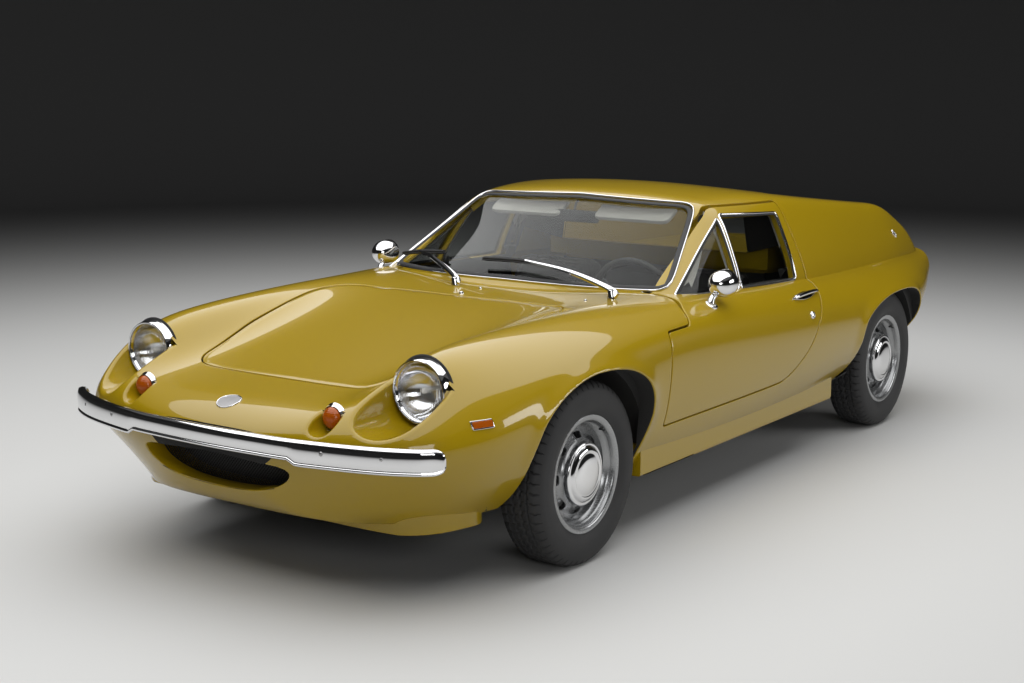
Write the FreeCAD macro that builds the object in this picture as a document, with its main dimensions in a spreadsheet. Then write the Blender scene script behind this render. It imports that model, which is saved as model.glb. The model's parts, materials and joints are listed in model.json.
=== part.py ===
import FreeCAD, Part
import math
import os
import re
import Sketcher
from FreeCAD import Placement, Rotation, Vector

# A low two-seat coupe with its engine behind the seats, in millimetres.
# X runs back along the car, Y to its right, Z up; the tyres stand on Z = 0.

doc = FreeCAD.newDocument("Coupe")
sheet = doc.addObject("Spreadsheet::Sheet", "dims")

SIZES = {
    # whole car
    "front_overhang": 870, "wheelbase": 2311, "rear_overhang": 813,
    "body_width": 1638, "overall_height": 1068, "clearance_under": 200,
    "track": 1346,
    # shell
    "skin": 16, "glass_outer": 10, "wall": 35, "shut_gap": 5, "seat_gap": 0.3,
    "flange_step": 24, "swing_gap": 14, "tail_rake": 0.45,
    # boards under the sills and the nose
    "board_low": 205, "board_half": 735, "board_front": 297, "board_rear": 1790,
    "valance_low": 198,
    # wheels
    "tyre_radius": 284,
    "spindle_radius": 30, "running_gap": 0.05,
    "vent_count": 8,
    # wheel arches: pockets inside, and lips cut to their own outline
    "arch_radius": 352, "arch_drop": 22, "arch_depth": 390, "lip_depth": 84,
    "rear_arch_radius": 325, "rear_arch_depth": 300,
    # cabin
    "firewall_at": 400, "footwell_at": 60, "bulkhead_at": 1640, "bulkhead_thick": 25,
    "cabin_half": 655, "floor_half": 625, "floor_top": 240, "footwell_half": 420, "footwell_top": 560,
    "tunnel_half": 105, "tunnel_height": 210,
    # door
    "door_front": 412, "door_bottom": 360, "door_step": 662, "door_pillar": 578,
    "door_inner": 645,
    # luggage tub and engine bay
    "tub_front": -330, "tub_rear": 280, "tub_half": 370, "tub_floor": 300,
    "bay_front": 1700, "bay_rear": 2960, "bay_half": 470, "bay_floor": 100,
    "fin_inner": 505,
    # lids
    "bonnet_front": -545, "bonnet_rear": 385, "bonnet_half": 477,
    "lid_front": 1720, "lid_rear": 2930, "lid_half": 470,
    # bumpers
    "bumper_low": 425, "bumper_high": 500, "bumper_thick": 32,
    # lamps
    "lamp_at": -539, "lamp_side": 540, "lamp_height": 610, "lamp_radius": 93,
    "blinker_at": -731, "blinker_side": 373, "blinker_height": 546, "blinker_radius": 28,
    "tail_lamp_radius": 38, "tail_lamp_height": 598, "tail_lamp_side": 575,
    "tail_lamp_pitch": 92, "tail_lamp_out": 24,
    # steering
    "kingpin_side": 575, "knuckle_radius": 20, "pin_radius": 8,
    "hub_out": 28, "brake_radius": 118, "brake_thick": 11, "brake_out": 30,
    "arm_low": 184, "arm_high": 400, "arm_thick": 16,
    "damper_radius": 32, "damper_side": 515,
    "upright_at": 555, "upright_thick": 35, "shaft_radius": 18, "link_radius": 10,
    # cabin fittings
    "wheel_ring": 175, "wheel_grip": 13, "column_side": 330, "column_radius": 12,
    "seat_width": 420, "seat_side": 330,
    # power unit
    "engine_front": 1720, "engine_length": 480, "engine_half": 260,
    "engine_low": 235, "engine_high": 640,
    "gearbox_length": 500, "gearbox_half": 130, "gearbox_low": 215, "gearbox_high": 450,
    "exhaust_radius": 75,
    # mounts
    "jack_radius": 15, "jack_depth": 60, "jack_at": 1100, "jack_side": 680, "jack_pad": 46,
}
for row, (alias, value) in enumerate(SIZES.items(), start=1):
    sheet.set(f"A{row}", alias)
    sheet.set(f"B{row}", str(value))
    sheet.setAlias(f"B{row}", alias)
doc.recompute()


class Size:
    """Reads one size of the sheet by name."""

    def __getattr__(self, alias):
        return float(sheet.get(alias))


size = Size()
AXLE = "(front_overhang - wheelbase - rear_overhang) / 2"
REAR = "(front_overhang + wheelbase - rear_overhang) / 2"
axle_x = (size.front_overhang - size.wheelbase - size.rear_overhang) / 2
rear_x = axle_x + size.wheelbase


def formula(text):
    """Puts the sheet's name before each alias in an expression."""
    def named(match):
        word = match.group()
        return "dims." + word if word in SIZES else word
    return re.sub(r"[A-Za-z_]\w*", named, str(text))


def bind(piece, **places):
    """Binds properties to expressions; x, y and z stand for the placement."""
    for prop, text in places.items():
        path = "Placement.Base." + prop if prop in "xyz" else prop
        piece.setExpression(path, formula(text))
    return piece


def box(name, x0, x1, y0, y1, z0, z1):
    piece = doc.addObject("Part::Box", name)
    return bind(piece, Length=f"({x1}) - ({x0})", Width=f"({y1}) - ({y0})",
                Height=f"({z1}) - ({z0})", x=x0, y=y0, z=z0)


TURN = {"x": Rotation(Vector(0, 1, 0), 90), "y": Rotation(Vector(1, 0, 0), -90),
        "z": Rotation()}


def cylinder(name, axis, radius, x, y, z, length):
    """A cylinder that starts at x, y, z and runs along +axis."""
    piece = doc.addObject("Part::Cylinder", name)
    piece.Placement = Placement(Vector(), TURN[axis])
    return bind(piece, Radius=radius, Height=length, x=x, y=y, z=z)


def cut(name, base, *tools):
    tool = tools[0] if len(tools) == 1 else fuse(name + "_tools", *tools)
    piece = doc.addObject("Part::Cut", name)
    piece.Base = base
    piece.Tool = tool
    return piece


def fuse(name, *shapes):
    piece = doc.addObject("Part::MultiFuse", name)
    piece.Shapes = list(shapes)
    return piece


def common(name, first, second):
    piece = doc.addObject("Part::Common", name)
    piece.Base = first
    piece.Tool = second
    return piece


PLANES = {"xy": Rotation(), "xz": Rotation(Vector(1, 0, 0), 90),
          "yz": Rotation(Vector(1, 1, 1), 120)}


def outline(name, plane, points):
    """A closed sketch of straight sides, each corner bound to the sheet."""
    sketch = doc.addObject("Sketcher::SketchObject", name)
    sketch.Placement = Placement(Vector(), PLANES[plane])
    flat = [(evaluate(a), evaluate(b)) for a, b in points]
    for number, start in enumerate(flat):
        end = flat[(number + 1) % len(flat)]
        sketch.addGeometry(Part.LineSegment(Vector(*start, 0), Vector(*end, 0)), False)
    constraints = []
    for number in range(len(flat)):
        follower = (number + 1) % len(flat)
        constraints.append(Sketcher.Constraint("Coincident", number, 2, follower, 1))
    for number, (a, b) in enumerate(flat):
        constraints.append(Sketcher.Constraint("DistanceX", -1, 1, number, 1, a))
        constraints.append(Sketcher.Constraint("DistanceY", -1, 1, number, 1, b))
    first = len(flat)
    sketch.addConstraint(constraints)
    for number, (a, b) in enumerate(points):
        sketch.setExpression(f"Constraints[{first + 2 * number}]", formula(a))
        sketch.setExpression(f"Constraints[{first + 2 * number + 1}]", formula(b))
    return sketch


def evaluate(text):
    """The value of an expression of the sheet's sizes."""
    if not isinstance(text, str):
        return float(text)
    return float(sheet.evalExpression(formula(text)))


ALONG = {"xy": Vector(0, 0, 1), "xz": Vector(0, 1, 0), "yz": Vector(1, 0, 0)}


def extrude(name, plane, points, low, high):
    """A prism of an outline, from low to high along the plane's normal axis."""
    sketch = outline(name + "_outline", plane, points)
    piece = doc.addObject("Part::Extrusion", name)
    piece.Base = sketch
    piece.DirMode = "Custom"
    piece.Dir = ALONG[plane]
    piece.Solid = True
    return bind(piece, LengthFwd=high, LengthRev=f"-({low})")


# Lines of the lower body, front to back. Each line is a few points
# (distance behind the front axle, half width, height) on the drawn car below.
DRAWN = {"front_overhang": 870, "wheelbase": 2311, "rear_overhang": 813,
         "half_width": 819, "clearance": 200, "height": 1068}
BODY_LINES = [
    # keel
    [(-838, 0, 385), (-825, 0, 340), (-775, 0, 250), (-690, 0, 225), (-380, 0, 220), (1700, 0, 220),
     (2150, 0, 225), (2850, 0, 300), (3094, 0, 345)],
    # floor edge
    [(-838, 130, 385), (-825, 170, 340), (-775, 250, 250), (-690, 340, 225), (-380, 520, 220),
     (480, 620, 222), (1700, 620, 222), (2150, 610, 230), (2850, 560, 300), (3094, 500, 345)],
    # sill edge
    [(-838, 190, 400), (-825, 200, 352), (-775, 290, 272), (-690, 400, 236), (-545, 545, 226),
     (-130, 680, 240), (800, 724, 252), (1700, 724, 262), (2150, 700, 268), (2850, 620, 325),
     (3094, 545, 362)],
    # lower flank
    [(-838, 235, 425), (-825, 268, 388), (-775, 365, 335), (-690, 500, 318), (-545, 655, 305),
     (-130, 745, 320), (480, 762, 325), (800, 772, 325), (1700, 778, 335), (2550, 735, 350),
     (2850, 660, 372), (3094, 590, 405)],
    # widest line
    [(-838, 250, 448), (-825, 375, 430), (-775, 540, 410), (-690, 655, 412), (-545, 745, 415),
     (-130, 795, 435), (170, 790, 440), (480, 786, 440), (1250, 806, 440), (1700, 815, 440),
     (2150, 826, 430), (2550, 785, 432), (2850, 715, 445), (3094, 632, 460)],
    # upper flank
    [(-838, 245, 470), (-825, 370, 468), (-775, 548, 470), (-690, 680, 475), (-545, 758, 505),
     (-380, 782, 535), (-130, 796, 560), (170, 792, 568), (480, 790, 572), (800, 802, 570),
     (1700, 818, 548), (2150, 828, 540), (2550, 790, 538), (2850, 735, 532), (3094, 645, 525)],
    # shoulder
    [(-838, 230, 488), (-825, 340, 495), (-775, 515, 510), (-690, 640, 530), (-545, 698, 598),
     (-380, 722, 628), (-130, 748, 648), (480, 775, 672), (1250, 787, 640), (1700, 795, 612),
     (2550, 765, 602), (3094, 642, 592)],
    # outer crest
    [(-838, 200, 496), (-825, 300, 510), (-775, 460, 532), (-690, 568, 575), (-545, 605, 684),
     (-380, 616, 714), (170, 635, 733), (480, 672, 726), (800, 706, 730), (1700, 715, 700),
     (2550, 675, 678), (3094, 605, 655)],
    # inner crest
    [(-838, 160, 499), (-825, 240, 514), (-775, 380, 542), (-690, 485, 592), (-545, 475, 708),
     (-380, 480, 735), (170, 528, 748), (480, 560, 742), (800, 600, 737), (1700, 600, 705),
     (2550, 580, 690), (3094, 520, 668)],
    # valley beside the bonnet
    [(-838, 120, 500), (-825, 180, 516), (-775, 270, 548), (-690, 370, 570), (-545, 405, 590),
     (-380, 415, 612), (-130, 425, 660), (170, 430, 708), (480, 430, 740), (800, 430, 746),
     (1700, 430, 700), (3094, 430, 665)],
    # bonnet
    [(-838, 60, 500), (-825, 90, 516), (-775, 140, 550), (-690, 200, 567), (-545, 240, 583),
     (-130, 240, 650), (170, 240, 695), (480, 240, 730), (800, 240, 746), (1700, 240, 700),
     (3094, 240, 665)],
    # centre
    [(-838, 0, 500), (-825, 0, 516), (-775, 0, 550), (-690, 0, 567), (-545, 0, 583),
     (-130, 0, 650), (170, 0, 695), (480, 0, 730), (800, 0, 746), (1700, 0, 700), (3094, 0, 665)],
]
BODY_STATIONS = [-838, -825, -775, -690, -545, -380, -130, 170, 480, 800, 1250, 1700, 2150,
                 2550, 2850, 3060, 3094]
SILL_LINE = 2

CABIN_LINES = [
    # foot, inside the lower body
    [(430, 560, 490), (560, 640, 490), (740, 690, 490), (1060, 705, 490), (1800, 712, 490),
     (2480, 670, 490), (3050, 590, 490)],
    # belt
    [(430, 570, 550), (560, 645, 640), (740, 690, 690), (1060, 705, 690), (1800, 711, 670),
     (2480, 672, 655), (3050, 592, 630)],
    # lower side
    [(430, 560, 590), (560, 635, 660), (740, 650, 715), (920, 636, 775), (1060, 636, 815),
     (1800, 668, 810), (2150, 660, 785), (2480, 648, 750), (2700, 638, 715), (3050, 588, 640)],
    # upper side
    [(430, 540, 600), (560, 610, 668), (740, 628, 732), (920, 578, 845), (1060, 560, 920),
     (1130, 562, 950), (1420, 585, 965), (1800, 604, 940), (2440, 606, 875), (2590, 606, 855),
     (2700, 606, 800), (2900, 604, 722), (3050, 580, 650)],
    # cant rail
    [(430, 500, 605), (560, 550, 680), (740, 585, 748), (920, 520, 868), (1060, 490, 948),
     (1130, 490, 996), (1420, 535, 1012), (1600, 560, 1000), (1800, 570, 980), (2440, 580, 915),
     (2590, 585, 897), (2700, 588, 845), (2900, 590, 757), (3050, 570, 660)],
    # roof side
    [(430, 420, 610), (560, 440, 700), (740, 465, 790), (920, 430, 885), (1060, 410, 964),
     (1130, 410, 1008), (1420, 445, 1030), (1600, 480, 1018), (1800, 520, 990), (2440, 530, 918),
     (2590, 530, 900), (2700, 530, 847), (2900, 530, 759), (3050, 510, 660)],
    # roof
    [(430, 300, 612), (560, 300, 722), (740, 320, 815), (920, 305, 903), (1060, 290, 978),
     (1130, 290, 1018), (1420, 300, 1043), (1600, 300, 1028), (1800, 300, 992), (2440, 300, 918),
     (2590, 300, 900), (2700, 300, 847), (2900, 300, 759), (3050, 300, 660)],
    # roof near its middle
    [(430, 150, 615), (560, 150, 735), (740, 150, 828), (920, 150, 915), (1060, 150, 988),
     (1130, 150, 1026), (1420, 150, 1050), (1600, 150, 1034), (1800, 150, 993), (2440, 150, 918),
     (2590, 150, 900), (2700, 150, 847), (2900, 150, 759), (3050, 150, 660)],
    # middle
    [(430, 0, 616), (560, 0, 738), (740, 0, 832), (920, 0, 918), (1060, 0, 991),
     (1130, 0, 1028), (1420, 0, 1052), (1600, 0, 1036), (1800, 0, 993), (2440, 0, 918),
     (2590, 0, 900), (2700, 0, 847), (2900, 0, 759), (3050, 0, 660)],
]
CABIN_STATIONS = [430, 560, 740, 920, 1060, 1130, 1220, 1420, 1600, 1800, 2150, 2440, 2530, 2620,
                  2740, 2900, 3050]


def station_x(station):
    """Stretches a drawn station to the sheet's overhangs and wheelbase."""
    if station < 0:
        return axle_x + station * size.front_overhang / DRAWN["front_overhang"]
    if station <= DRAWN["wheelbase"]:
        return axle_x + station * size.wheelbase / DRAWN["wheelbase"]
    past_axle = station - DRAWN["wheelbase"]
    return rear_x + past_axle * size.rear_overhang / DRAWN["rear_overhang"]


RAKE_FROM = 2550
RAKE_TOP = 655


def raked_x(station, height):
    """Leans the tail's panel: the lower a point, the further forward it ends."""
    share = max(0, (station - RAKE_FROM) / (BODY_STATIONS[-1] - RAKE_FROM))
    return station_x(station) - size.tail_rake * share * (high(RAKE_TOP) - height)


def wide(half):
    return half * size.body_width / 2 / DRAWN["half_width"]


def high(height):
    rise = (size.overall_height - size.clearance_under) / (DRAWN["height"] - DRAWN["clearance"])
    return size.clearance_under + (height - DRAWN["clearance"]) * rise


def along(line, station):
    """Smooth curve through a line's points: half width and height at a station."""
    last = len(line) - 1
    step = 0
    while step < last - 1 and station > line[step + 1][0]:
        step += 1
    start, end = line[step], line[step + 1]
    span = end[0] - start[0]
    share = (station - start[0]) / span
    values = []
    for axis in (1, 2):
        def slope(point):
            before, after = line[max(point - 1, 0)], line[min(point + 1, last)]
            return (after[axis] - before[axis]) / (after[0] - before[0])
        rise_a, rise_b = slope(step) * span, slope(step + 1) * span
        gap = end[axis] - start[axis]
        values.append(start[axis] + share * rise_a
                      + share ** 2 * (3 * gap - 2 * rise_a - rise_b)
                      + share ** 3 * (rise_a + rise_b - 2 * gap))
    return wide(values[0]), high(values[1])


def inward(points, depth):
    """Moves each pole of a half section inward along the section's normal."""
    moved = []
    last = len(points) - 1
    for number, (y, z) in enumerate(points):
        before, after = points[max(number - 1, 0)], points[min(number + 1, last)]
        if number in (0, last) and abs(y) < 1e-6:
            moved.append((y, z + depth if number == 0 else z - depth))
            continue
        run, climb = after[0] - before[0], after[1] - before[1]
        length = math.hypot(run, climb)
        moved.append((y - depth * climb / length, z + depth * run / length))
    return moved


def half_section(lines, station, depth):
    points = [along(line, station) for line in lines]
    return inward(points, depth) if depth else points


def spline_surface(rows):
    """A smooth surface of degree three over a net of poles."""
    def knots(count):
        inner = count - 4
        return list(range(inner + 2)), [4] + [1] * inner + [4]
    along_knots, along_times = knots(len(rows))
    across_knots, across_times = knots(len(rows[0]))
    surface = Part.BSplineSurface()
    surface.buildFromPolesMultsKnots(rows, along_times, across_times, along_knots,
                                     across_knots, False, False, 3, 3)
    return surface


def both_sides(half, place):
    """Poles of a section from the left side, over the middle, to the right."""
    left = [Vector(place(z), -y, z) for y, z in half]
    return left + [Vector(place(z), y, z) for y, z in reversed(half[:-1])]


def closed_solid(faces):
    shell = Part.Shell(faces)
    shell.sewShape()
    solid = Part.Solid(Part.Shell(shell.Faces))
    if solid.Volume < 0:
        solid.reverse()
    return solid


def end_face(*edges):
    return Part.Face(Part.Wire(Part.__sortEdges__(list(edges))))


def lower_form(depth):
    """The lower body's outer form, or the same form moved in by a depth."""
    upper, under = [], []
    for station in BODY_STATIONS:
        half = half_section(BODY_LINES, station, depth)

        def place(height, station=station):
            return raked_x(station, height)

        upper.append(both_sides(half[SILL_LINE:], place))
        under.append(both_sides(list(reversed(half[:SILL_LINE + 1])), place))
    skin, floor = spline_surface(upper), spline_surface(under)
    faces = [skin.toShape(), floor.toShape()]
    for end in (0, len(BODY_STATIONS) - 3):
        faces.append(end_face(skin.uIso(end).toShape(), floor.uIso(end).toShape()))
    return closed_solid(faces)


def upper_form(depth, last=CABIN_STATIONS[-1]):
    """The cabin, roof and sail panels' outer form, or moved in by a depth."""
    rows = []
    for station in [place for place in CABIN_STATIONS if place <= last]:
        half = half_section(CABIN_LINES, station, depth)
        half[0] = (half[0][0], high(CABIN_LINES[0][0][2]))

        def place(height, station=station):
            return raked_x(station, height)

        rows.append(both_sides(half, place))
    skin = spline_surface(rows)
    sides = [skin.vIso(0).toShape(), skin.vIso(len(rows[0]) - 3).toShape()]
    ends, faces = [], [skin.toShape()]
    for end, row in ((0, rows[0]), (len(rows) - 3, rows[-1])):
        base = Part.makeLine(row[0], row[-1])
        ends.append(base)
        faces.append(end_face(skin.uIso(end).toShape(), base))
    faces.append(end_face(*sides, *ends))
    return closed_solid(faces)


def feature(name, shape):
    piece = doc.addObject("Part::Feature", name)
    piece.Shape = shape
    return piece


def at(place):
    """An expression for a distance behind the front axle."""
    return f"{AXLE} + {place}"


def behind(place):
    """An expression for a distance behind the rear axle."""
    return f"{REAR} + {place}"


SIDES = {"left": -1, "right": 1}
FAR = 1200


# Forms of the body, and the same forms moved in to each layer
lower = feature("lower_outer", lower_form(0))
lower_skin = feature("lower_skin", lower_form(size.skin))
lower_seat = feature("lower_seat", lower_form(size.skin + size.seat_gap))
lower_wall = feature("lower_wall", lower_form(size.wall))
upper = feature("upper_outer", upper_form(0))
upper_glass = feature("upper_glass", upper_form(size.glass_outer))
upper_skin = feature("upper_skin", upper_form(size.skin))
upper_seat = feature("upper_seat", upper_form(size.skin + size.seat_gap))
upper_wall = feature("upper_wall", upper_form(size.wall, 2150))

# Cabin space: the forms moved in by a wall, between firewall and bulkhead
cabin_room = box("cabin_room", at("firewall_at"), at("bulkhead_at"), "-cabin_half", "cabin_half",
                 "floor_top", "overall_height + wall")
footwell = box("footwell", at("footwell_at"), at("firewall_at + 1"), "-footwell_half",
               "footwell_half", "floor_top", "footwell_top")
tunnel = box("tunnel", at("footwell_at - 10"), at("bulkhead_at + 10"), "-tunnel_half",
             "tunnel_half", "clearance_under", "floor_top + tunnel_height")
flat_floor = box("flat_floor", at("firewall_at"), at("bulkhead_at"), "-floor_half", "floor_half",
                 "floor_top", "floor_top + 160")
cabin_inside = fuse("cabin_inside", lower_wall, upper_wall, flat_floor)
cabin_space = fuse("cabin_space", common("cabin_within", cabin_inside, cabin_room), footwell)
cabin_space = cut("cabin_air", cabin_space, tunnel)

# Wheel pockets
pockets = []
for side, sign in SIDES.items():
    for name, place, radius, drop, depth in (
            ("front", at("0"), "arch_radius", "arch_drop", "arch_depth"),
            ("rear", behind("0"), "rear_arch_radius", "0", "rear_arch_depth")):
        start = f"body_width / 2 - {depth}" if sign > 0 else "-body_width / 2 + lip_depth"
        pockets.append(cylinder(f"{name}_pocket_{side}", "y", radius, place, start,
                                f"tyre_radius - {drop}", f"{depth} - lip_depth"))

# Lips: the arches' openings in the flanks, drawn in side view
FRONT_LIP = [(-345, 100), (-322, 200), (-303, 265), (-314, 321), (-329, 397), (-325, 442),
             (-304, 489), (-260, 526), (-197, 558), (-109, 584), (-30, 597), (53, 598),
             (137, 590), (199, 574), (256, 547), (290, 513), (309, 474), (312, 430),
             (306, 382), (300, 342), (298, 301), (297, 262), (297, 100)]
REAR_LIP = [(-540, 100), (-500, 264), (-420, 285), (-396, 315), (-396, 355), (-410, 427),
            (-410, 477), (-375, 517), (-279, 548), (-152, 567), (-36, 573), (116, 571),
            (215, 559), (270, 537), (305, 488), (318, 438), (318, 404), (300, 340),
            (300, 100)]
lips = []
for side, sign in SIDES.items():
    for name, place, points in (("front", at, FRONT_LIP), ("rear", behind, REAR_LIP)):
        low = "body_width / 2 - lip_depth - 1" if sign > 0 else "-body_width / 2 - 60"
        top = "body_width / 2 + 60" if sign > 0 else "-body_width / 2 + lip_depth + 1"
        lips.append(extrude(f"{name}_lip_{side}", "xz", [(place(x), str(z)) for x, z in points],
                            low, top))

# Room for the suspension, under the body
front_room = box("front_suspension_room", at("-170"), at("170"), "-500", "500", "100", "425")
rear_room = box("rear_suspension_room", behind("-170"), behind("170"), "-560", "560", "100", "425")

# Luggage tub, engine bay and the tunnel's underside
tub = box("luggage_tub", at("tub_front"), at("tub_rear"), "-tub_half", "tub_half",
          "tub_floor + 140", "tub_floor + 600")
bay = box("engine_bay", at("bay_front"), at("bay_rear"), "-bay_half", "bay_half",
          "bay_floor", "overall_height")
channel = box("tunnel_channel", at("170"), at("bay_front + 1"), "-tunnel_half + 25",
              "tunnel_half - 25", "clearance_under - 20", "floor_top + tunnel_height - 25")

# Lamps' recesses, open to the front
scoops = []
for side, sign in SIDES.items():
    scoops.append(cylinder(f"lamp_scoop_{side}", "x", "lamp_radius + 6", at("lamp_at - 400"),
                           f"{sign} * lamp_side", "lamp_height", "400"))
    scoops.append(cylinder(f"blinker_scoop_{side}", "x", "blinker_radius + 5",
                           at("blinker_at - 300"), f"{sign} * blinker_side", "blinker_height",
                           "300"))

# Air intake under the bumper
GRILLE = [("-300", "408"), ("-262", "352"), ("-150", "318"), ("0", "310"), ("150", "318"),
          ("262", "352"), ("300", "408"), ("0", "420")]
intake = extrude("intake", "yz", GRILLE, at("-900"), at("-690"))

# Boards under the sills and the valance under the nose
VALANCE = [(-300, 560), (-375, 612), (-456, 600), (-519, 578), (-567, 544), (-600, 498),
           (-612, 363), (-613, 210)]
board_plan = [(at(x), str(y)) for x, y in VALANCE] + [(at(x), str(-y)) for x, y in VALANCE[::-1]]
boards = [extrude("valance", "xy", board_plan, "valance_low", "valance_low + 60")]
for side, sign in SIDES.items():
    boards.append(box(f"sill_board_{side}", at("board_front"), at("board_rear"),
                      "board_half - 130" if sign > 0 else "-board_half",
                      "board_half" if sign > 0 else "-board_half + 130", "board_low",
                      "board_low + 75"))
lower_boarded = fuse("lower_boarded", lower, *boards)

# Lower body with its hollows
pipe_hole = cylinder("tailpipe_hole", "x", "32", behind("500"), "-180", "310", "400")
hollow = cut("lower_hollow", lower_boarded, cabin_space, tub, bay, channel, front_room,
             rear_room, intake, pipe_hole, *pockets, *lips, *scoops)

# Door openings
def door_outline(grow, back):
    """The door's outline in side view, grown all round and drawn in at its back."""
    reach = f"{grow} - {back}" if back else grow
    return [(at(f"door_front - {grow}"), f"door_bottom - {grow}"),
            (at(f"door_front + 9 - {grow}"), "548"),
            (at(f"door_front + 30 - {grow}"), f"door_step - 4 + {grow}"),
            (at(f"door_pillar - {grow}"), f"door_step + {grow}"),
            (at(f"door_pillar + 16 - {grow}"), f"677 + {grow}"),
            (at(f"door_pillar + 41 - {grow}"), f"708 + {grow}"),
            (at(f"door_pillar + 83 - {grow}"), f"724 + {grow}"),
            (at("1150"), f"986 + {reach}"),
            (at("1185"), f"990 + {reach}"),
            (at(f"1581 + {reach}"), f"983 + {reach}"),
            (at(f"1608 + {reach}"), "697"),
            (at(f"1594 + {reach}"), "664"),
            (at(f"1559 + {reach}"), "628"),
            (at(f"1510 + {reach}"), "573"),
            (at(f"1454 + {reach}"), "499"),
            (at(f"1391 + {reach}"), f"439 - {grow}"),
            (at(f"1272 + {reach}"), f"door_bottom + 14 - {grow}"),
            (at(f"1187 + {reach}"), f"door_bottom + 6 - {grow}")]


def leaf_section(sign, grow):
    """The slice of the body in front view that belongs to a door."""
    return [(f"{sign} * 900", f"door_bottom - {grow} - 20"),
            (f"{sign} * (door_inner - {grow})", f"door_bottom - {grow} - 20"),
            (f"{sign} * (door_inner - {grow})", "680"),
            (f"{sign} * (door_inner - 17 - {grow})", "705"),
            (f"{sign} * (door_inner - 30 - {grow})", "740"),
            (f"{sign} * (500 - {grow})", "986"),
            (f"{sign} * (470 - {grow})", "1030"),
            (f"{sign} * 900", "1030")]


WINDOW = [(at("724"), "728"), (at("1088"), "714"), (at("1522"), "702"), (at("1538"), "948"),
          (at("1174"), "966")]
QUARTER_BAR = [(at("1078"), "690"), (at("1092"), "690"), (at("1180"), "1000"),
               (at("1166"), "1000")]
deep = fuse("below_the_skin", lower_skin, upper_skin)
seat = fuse("below_the_seat", lower_seat, upper_seat)
doors, door_holes = {}, []
for side, sign in SIDES.items():
    reach = ("0", "FAR") if sign > 0 else ("-FAR", "0")
    low, high_end = (reach[0].replace("FAR", str(FAR)), reach[1].replace("FAR", str(FAR)))
    leaf = extrude(f"door_leaf_{side}", "yz", leaf_section(sign, "0"), at("300"), at("1700"))
    face = extrude(f"door_face_{side}", "xz", door_outline("0", ""), low, high_end)
    core = extrude(f"door_core_{side}", "xz", door_outline("0", "flange_step"), low, high_end)
    flange = cut(f"door_flange_{side}", common(f"door_face_part_{side}", face, leaf), deep)
    inner = common(f"door_inner_{side}", core, leaf)
    doors[side] = fuse(f"door_form_{side}", flange, inner)
    hole_leaf = extrude(f"door_hole_leaf_{side}", "yz", leaf_section(sign, "shut_gap"),
                        at("300"), at("1700"))
    hole_face = extrude(f"door_hole_face_{side}", "xz", door_outline("shut_gap", ""), low,
                        high_end)
    hole_core = extrude(f"door_hole_core_{side}", "xz",
                        door_outline("shut_gap", "(flange_step - swing_gap + shut_gap)"),
                        low, high_end)
    hole_flange = cut(f"door_hole_flange_{side}", hole_face, seat)
    door_holes.append(common(f"door_hole_{side}",
                             fuse(f"door_hole_form_{side}", hole_flange, hole_core), hole_leaf))

# Floor, sills and scuttle between the two ends of the lower body
lower_less_doors = cut("lower_less_doors", hollow, *door_holes)
front_zone = fuse("front_zone",
                  box("nose_zone", at("-1000"), at("door_pillar + 100"), -FAR, FAR, 0, FAR),
                  box("scuttle_zone", at("door_pillar"), at("900"), -FAR, FAR, "600", FAR))
middle_zone = cut("middle_zone", box("sill_zone", at("door_pillar + 100"), at("bulkhead_at"),
                                     -FAR, FAR, 0, FAR), front_zone)
rear_zone = box("rear_zone", at("bulkhead_at"), at("3300"), -FAR, FAR, 0, FAR)

# Lids in the skin
BONNET = [("bonnet_front + 4", "90"), ("bonnet_front + 5", "bonnet_half - 150"),
          ("bonnet_front + 45", "bonnet_half - 112"), ("bonnet_front + 125", "bonnet_half - 97"),
          ("bonnet_front + 312", "bonnet_half - 58"), ("bonnet_front + 462", "bonnet_half - 36"),
          ("bonnet_rear - 248", "bonnet_half"), ("bonnet_rear - 145", "bonnet_half"),
          ("bonnet_rear - 61", "bonnet_half - 39"), ("bonnet_rear - 15", "230")]


def bonnet_outline(gap):
    """The lid's plan, grown by a gap all round."""
    half = []
    for x, y in BONNET:
        forward = "-" if "front" in x else "+"
        half.append((at(f"{x} {forward} {gap}"), f"{y} + {gap}"))
    return half + [(x, f"-({y})") for x, y in reversed(half)]


crust = cut("crust", lower, lower_skin)
seat_crust = cut("seat_crust", lower, lower_seat)
bonnet = common("bonnet", crust, extrude("bonnet_prism", "xy", bonnet_outline("0"), "430",
                                        "900"))
bonnet_hole = common("bonnet_hole", seat_crust,
                     extrude("bonnet_hole_prism", "xy", bonnet_outline("shut_gap"), "430",
                             "900"))
deck_lid = common("deck_lid", crust, box("lid_prism", at("lid_front"), at("lid_rear"),
                                         "-lid_half", "lid_half", "500", "900"))
lid_hole = common("lid_hole", seat_crust,
                  box("lid_hole_prism", at("lid_front - shut_gap"), at("lid_rear + shut_gap"),
                      "-lid_half - shut_gap", "lid_half + shut_gap", "500", "900"))

# Chassis: a front cross member, a backbone in the tunnel and a fork for the engine
cross = box("cross_member", at("-60"), at("60"), "-250", "250", "184", "425")
yoke = box("yoke", at("bay_front"), at("engine_front"), "-engine_half - 40",
           "engine_half + 40", "240", "400")
forks = [box(f"fork_{side}", at("engine_front"), at("engine_front + engine_length + 60"),
             "engine_half" if sign > 0 else "-engine_half - 40",
             "engine_half + 40" if sign > 0 else "-engine_half", "300", "380")
         for side, sign in SIDES.items()]
backbone = box("backbone", at("60"), at("bay_front"), "-tunnel_half + 30", "tunnel_half - 30",
               "clearance_under + 5", "floor_top + tunnel_height - 30")

jacks = [cylinder(f"jack_hole_{side}", "z", "jack_radius", at("jack_at"),
                  f"{sign} * jack_side", "clearance_under - 20", "jack_depth + 20")
         for side, sign in SIDES.items()]
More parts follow.
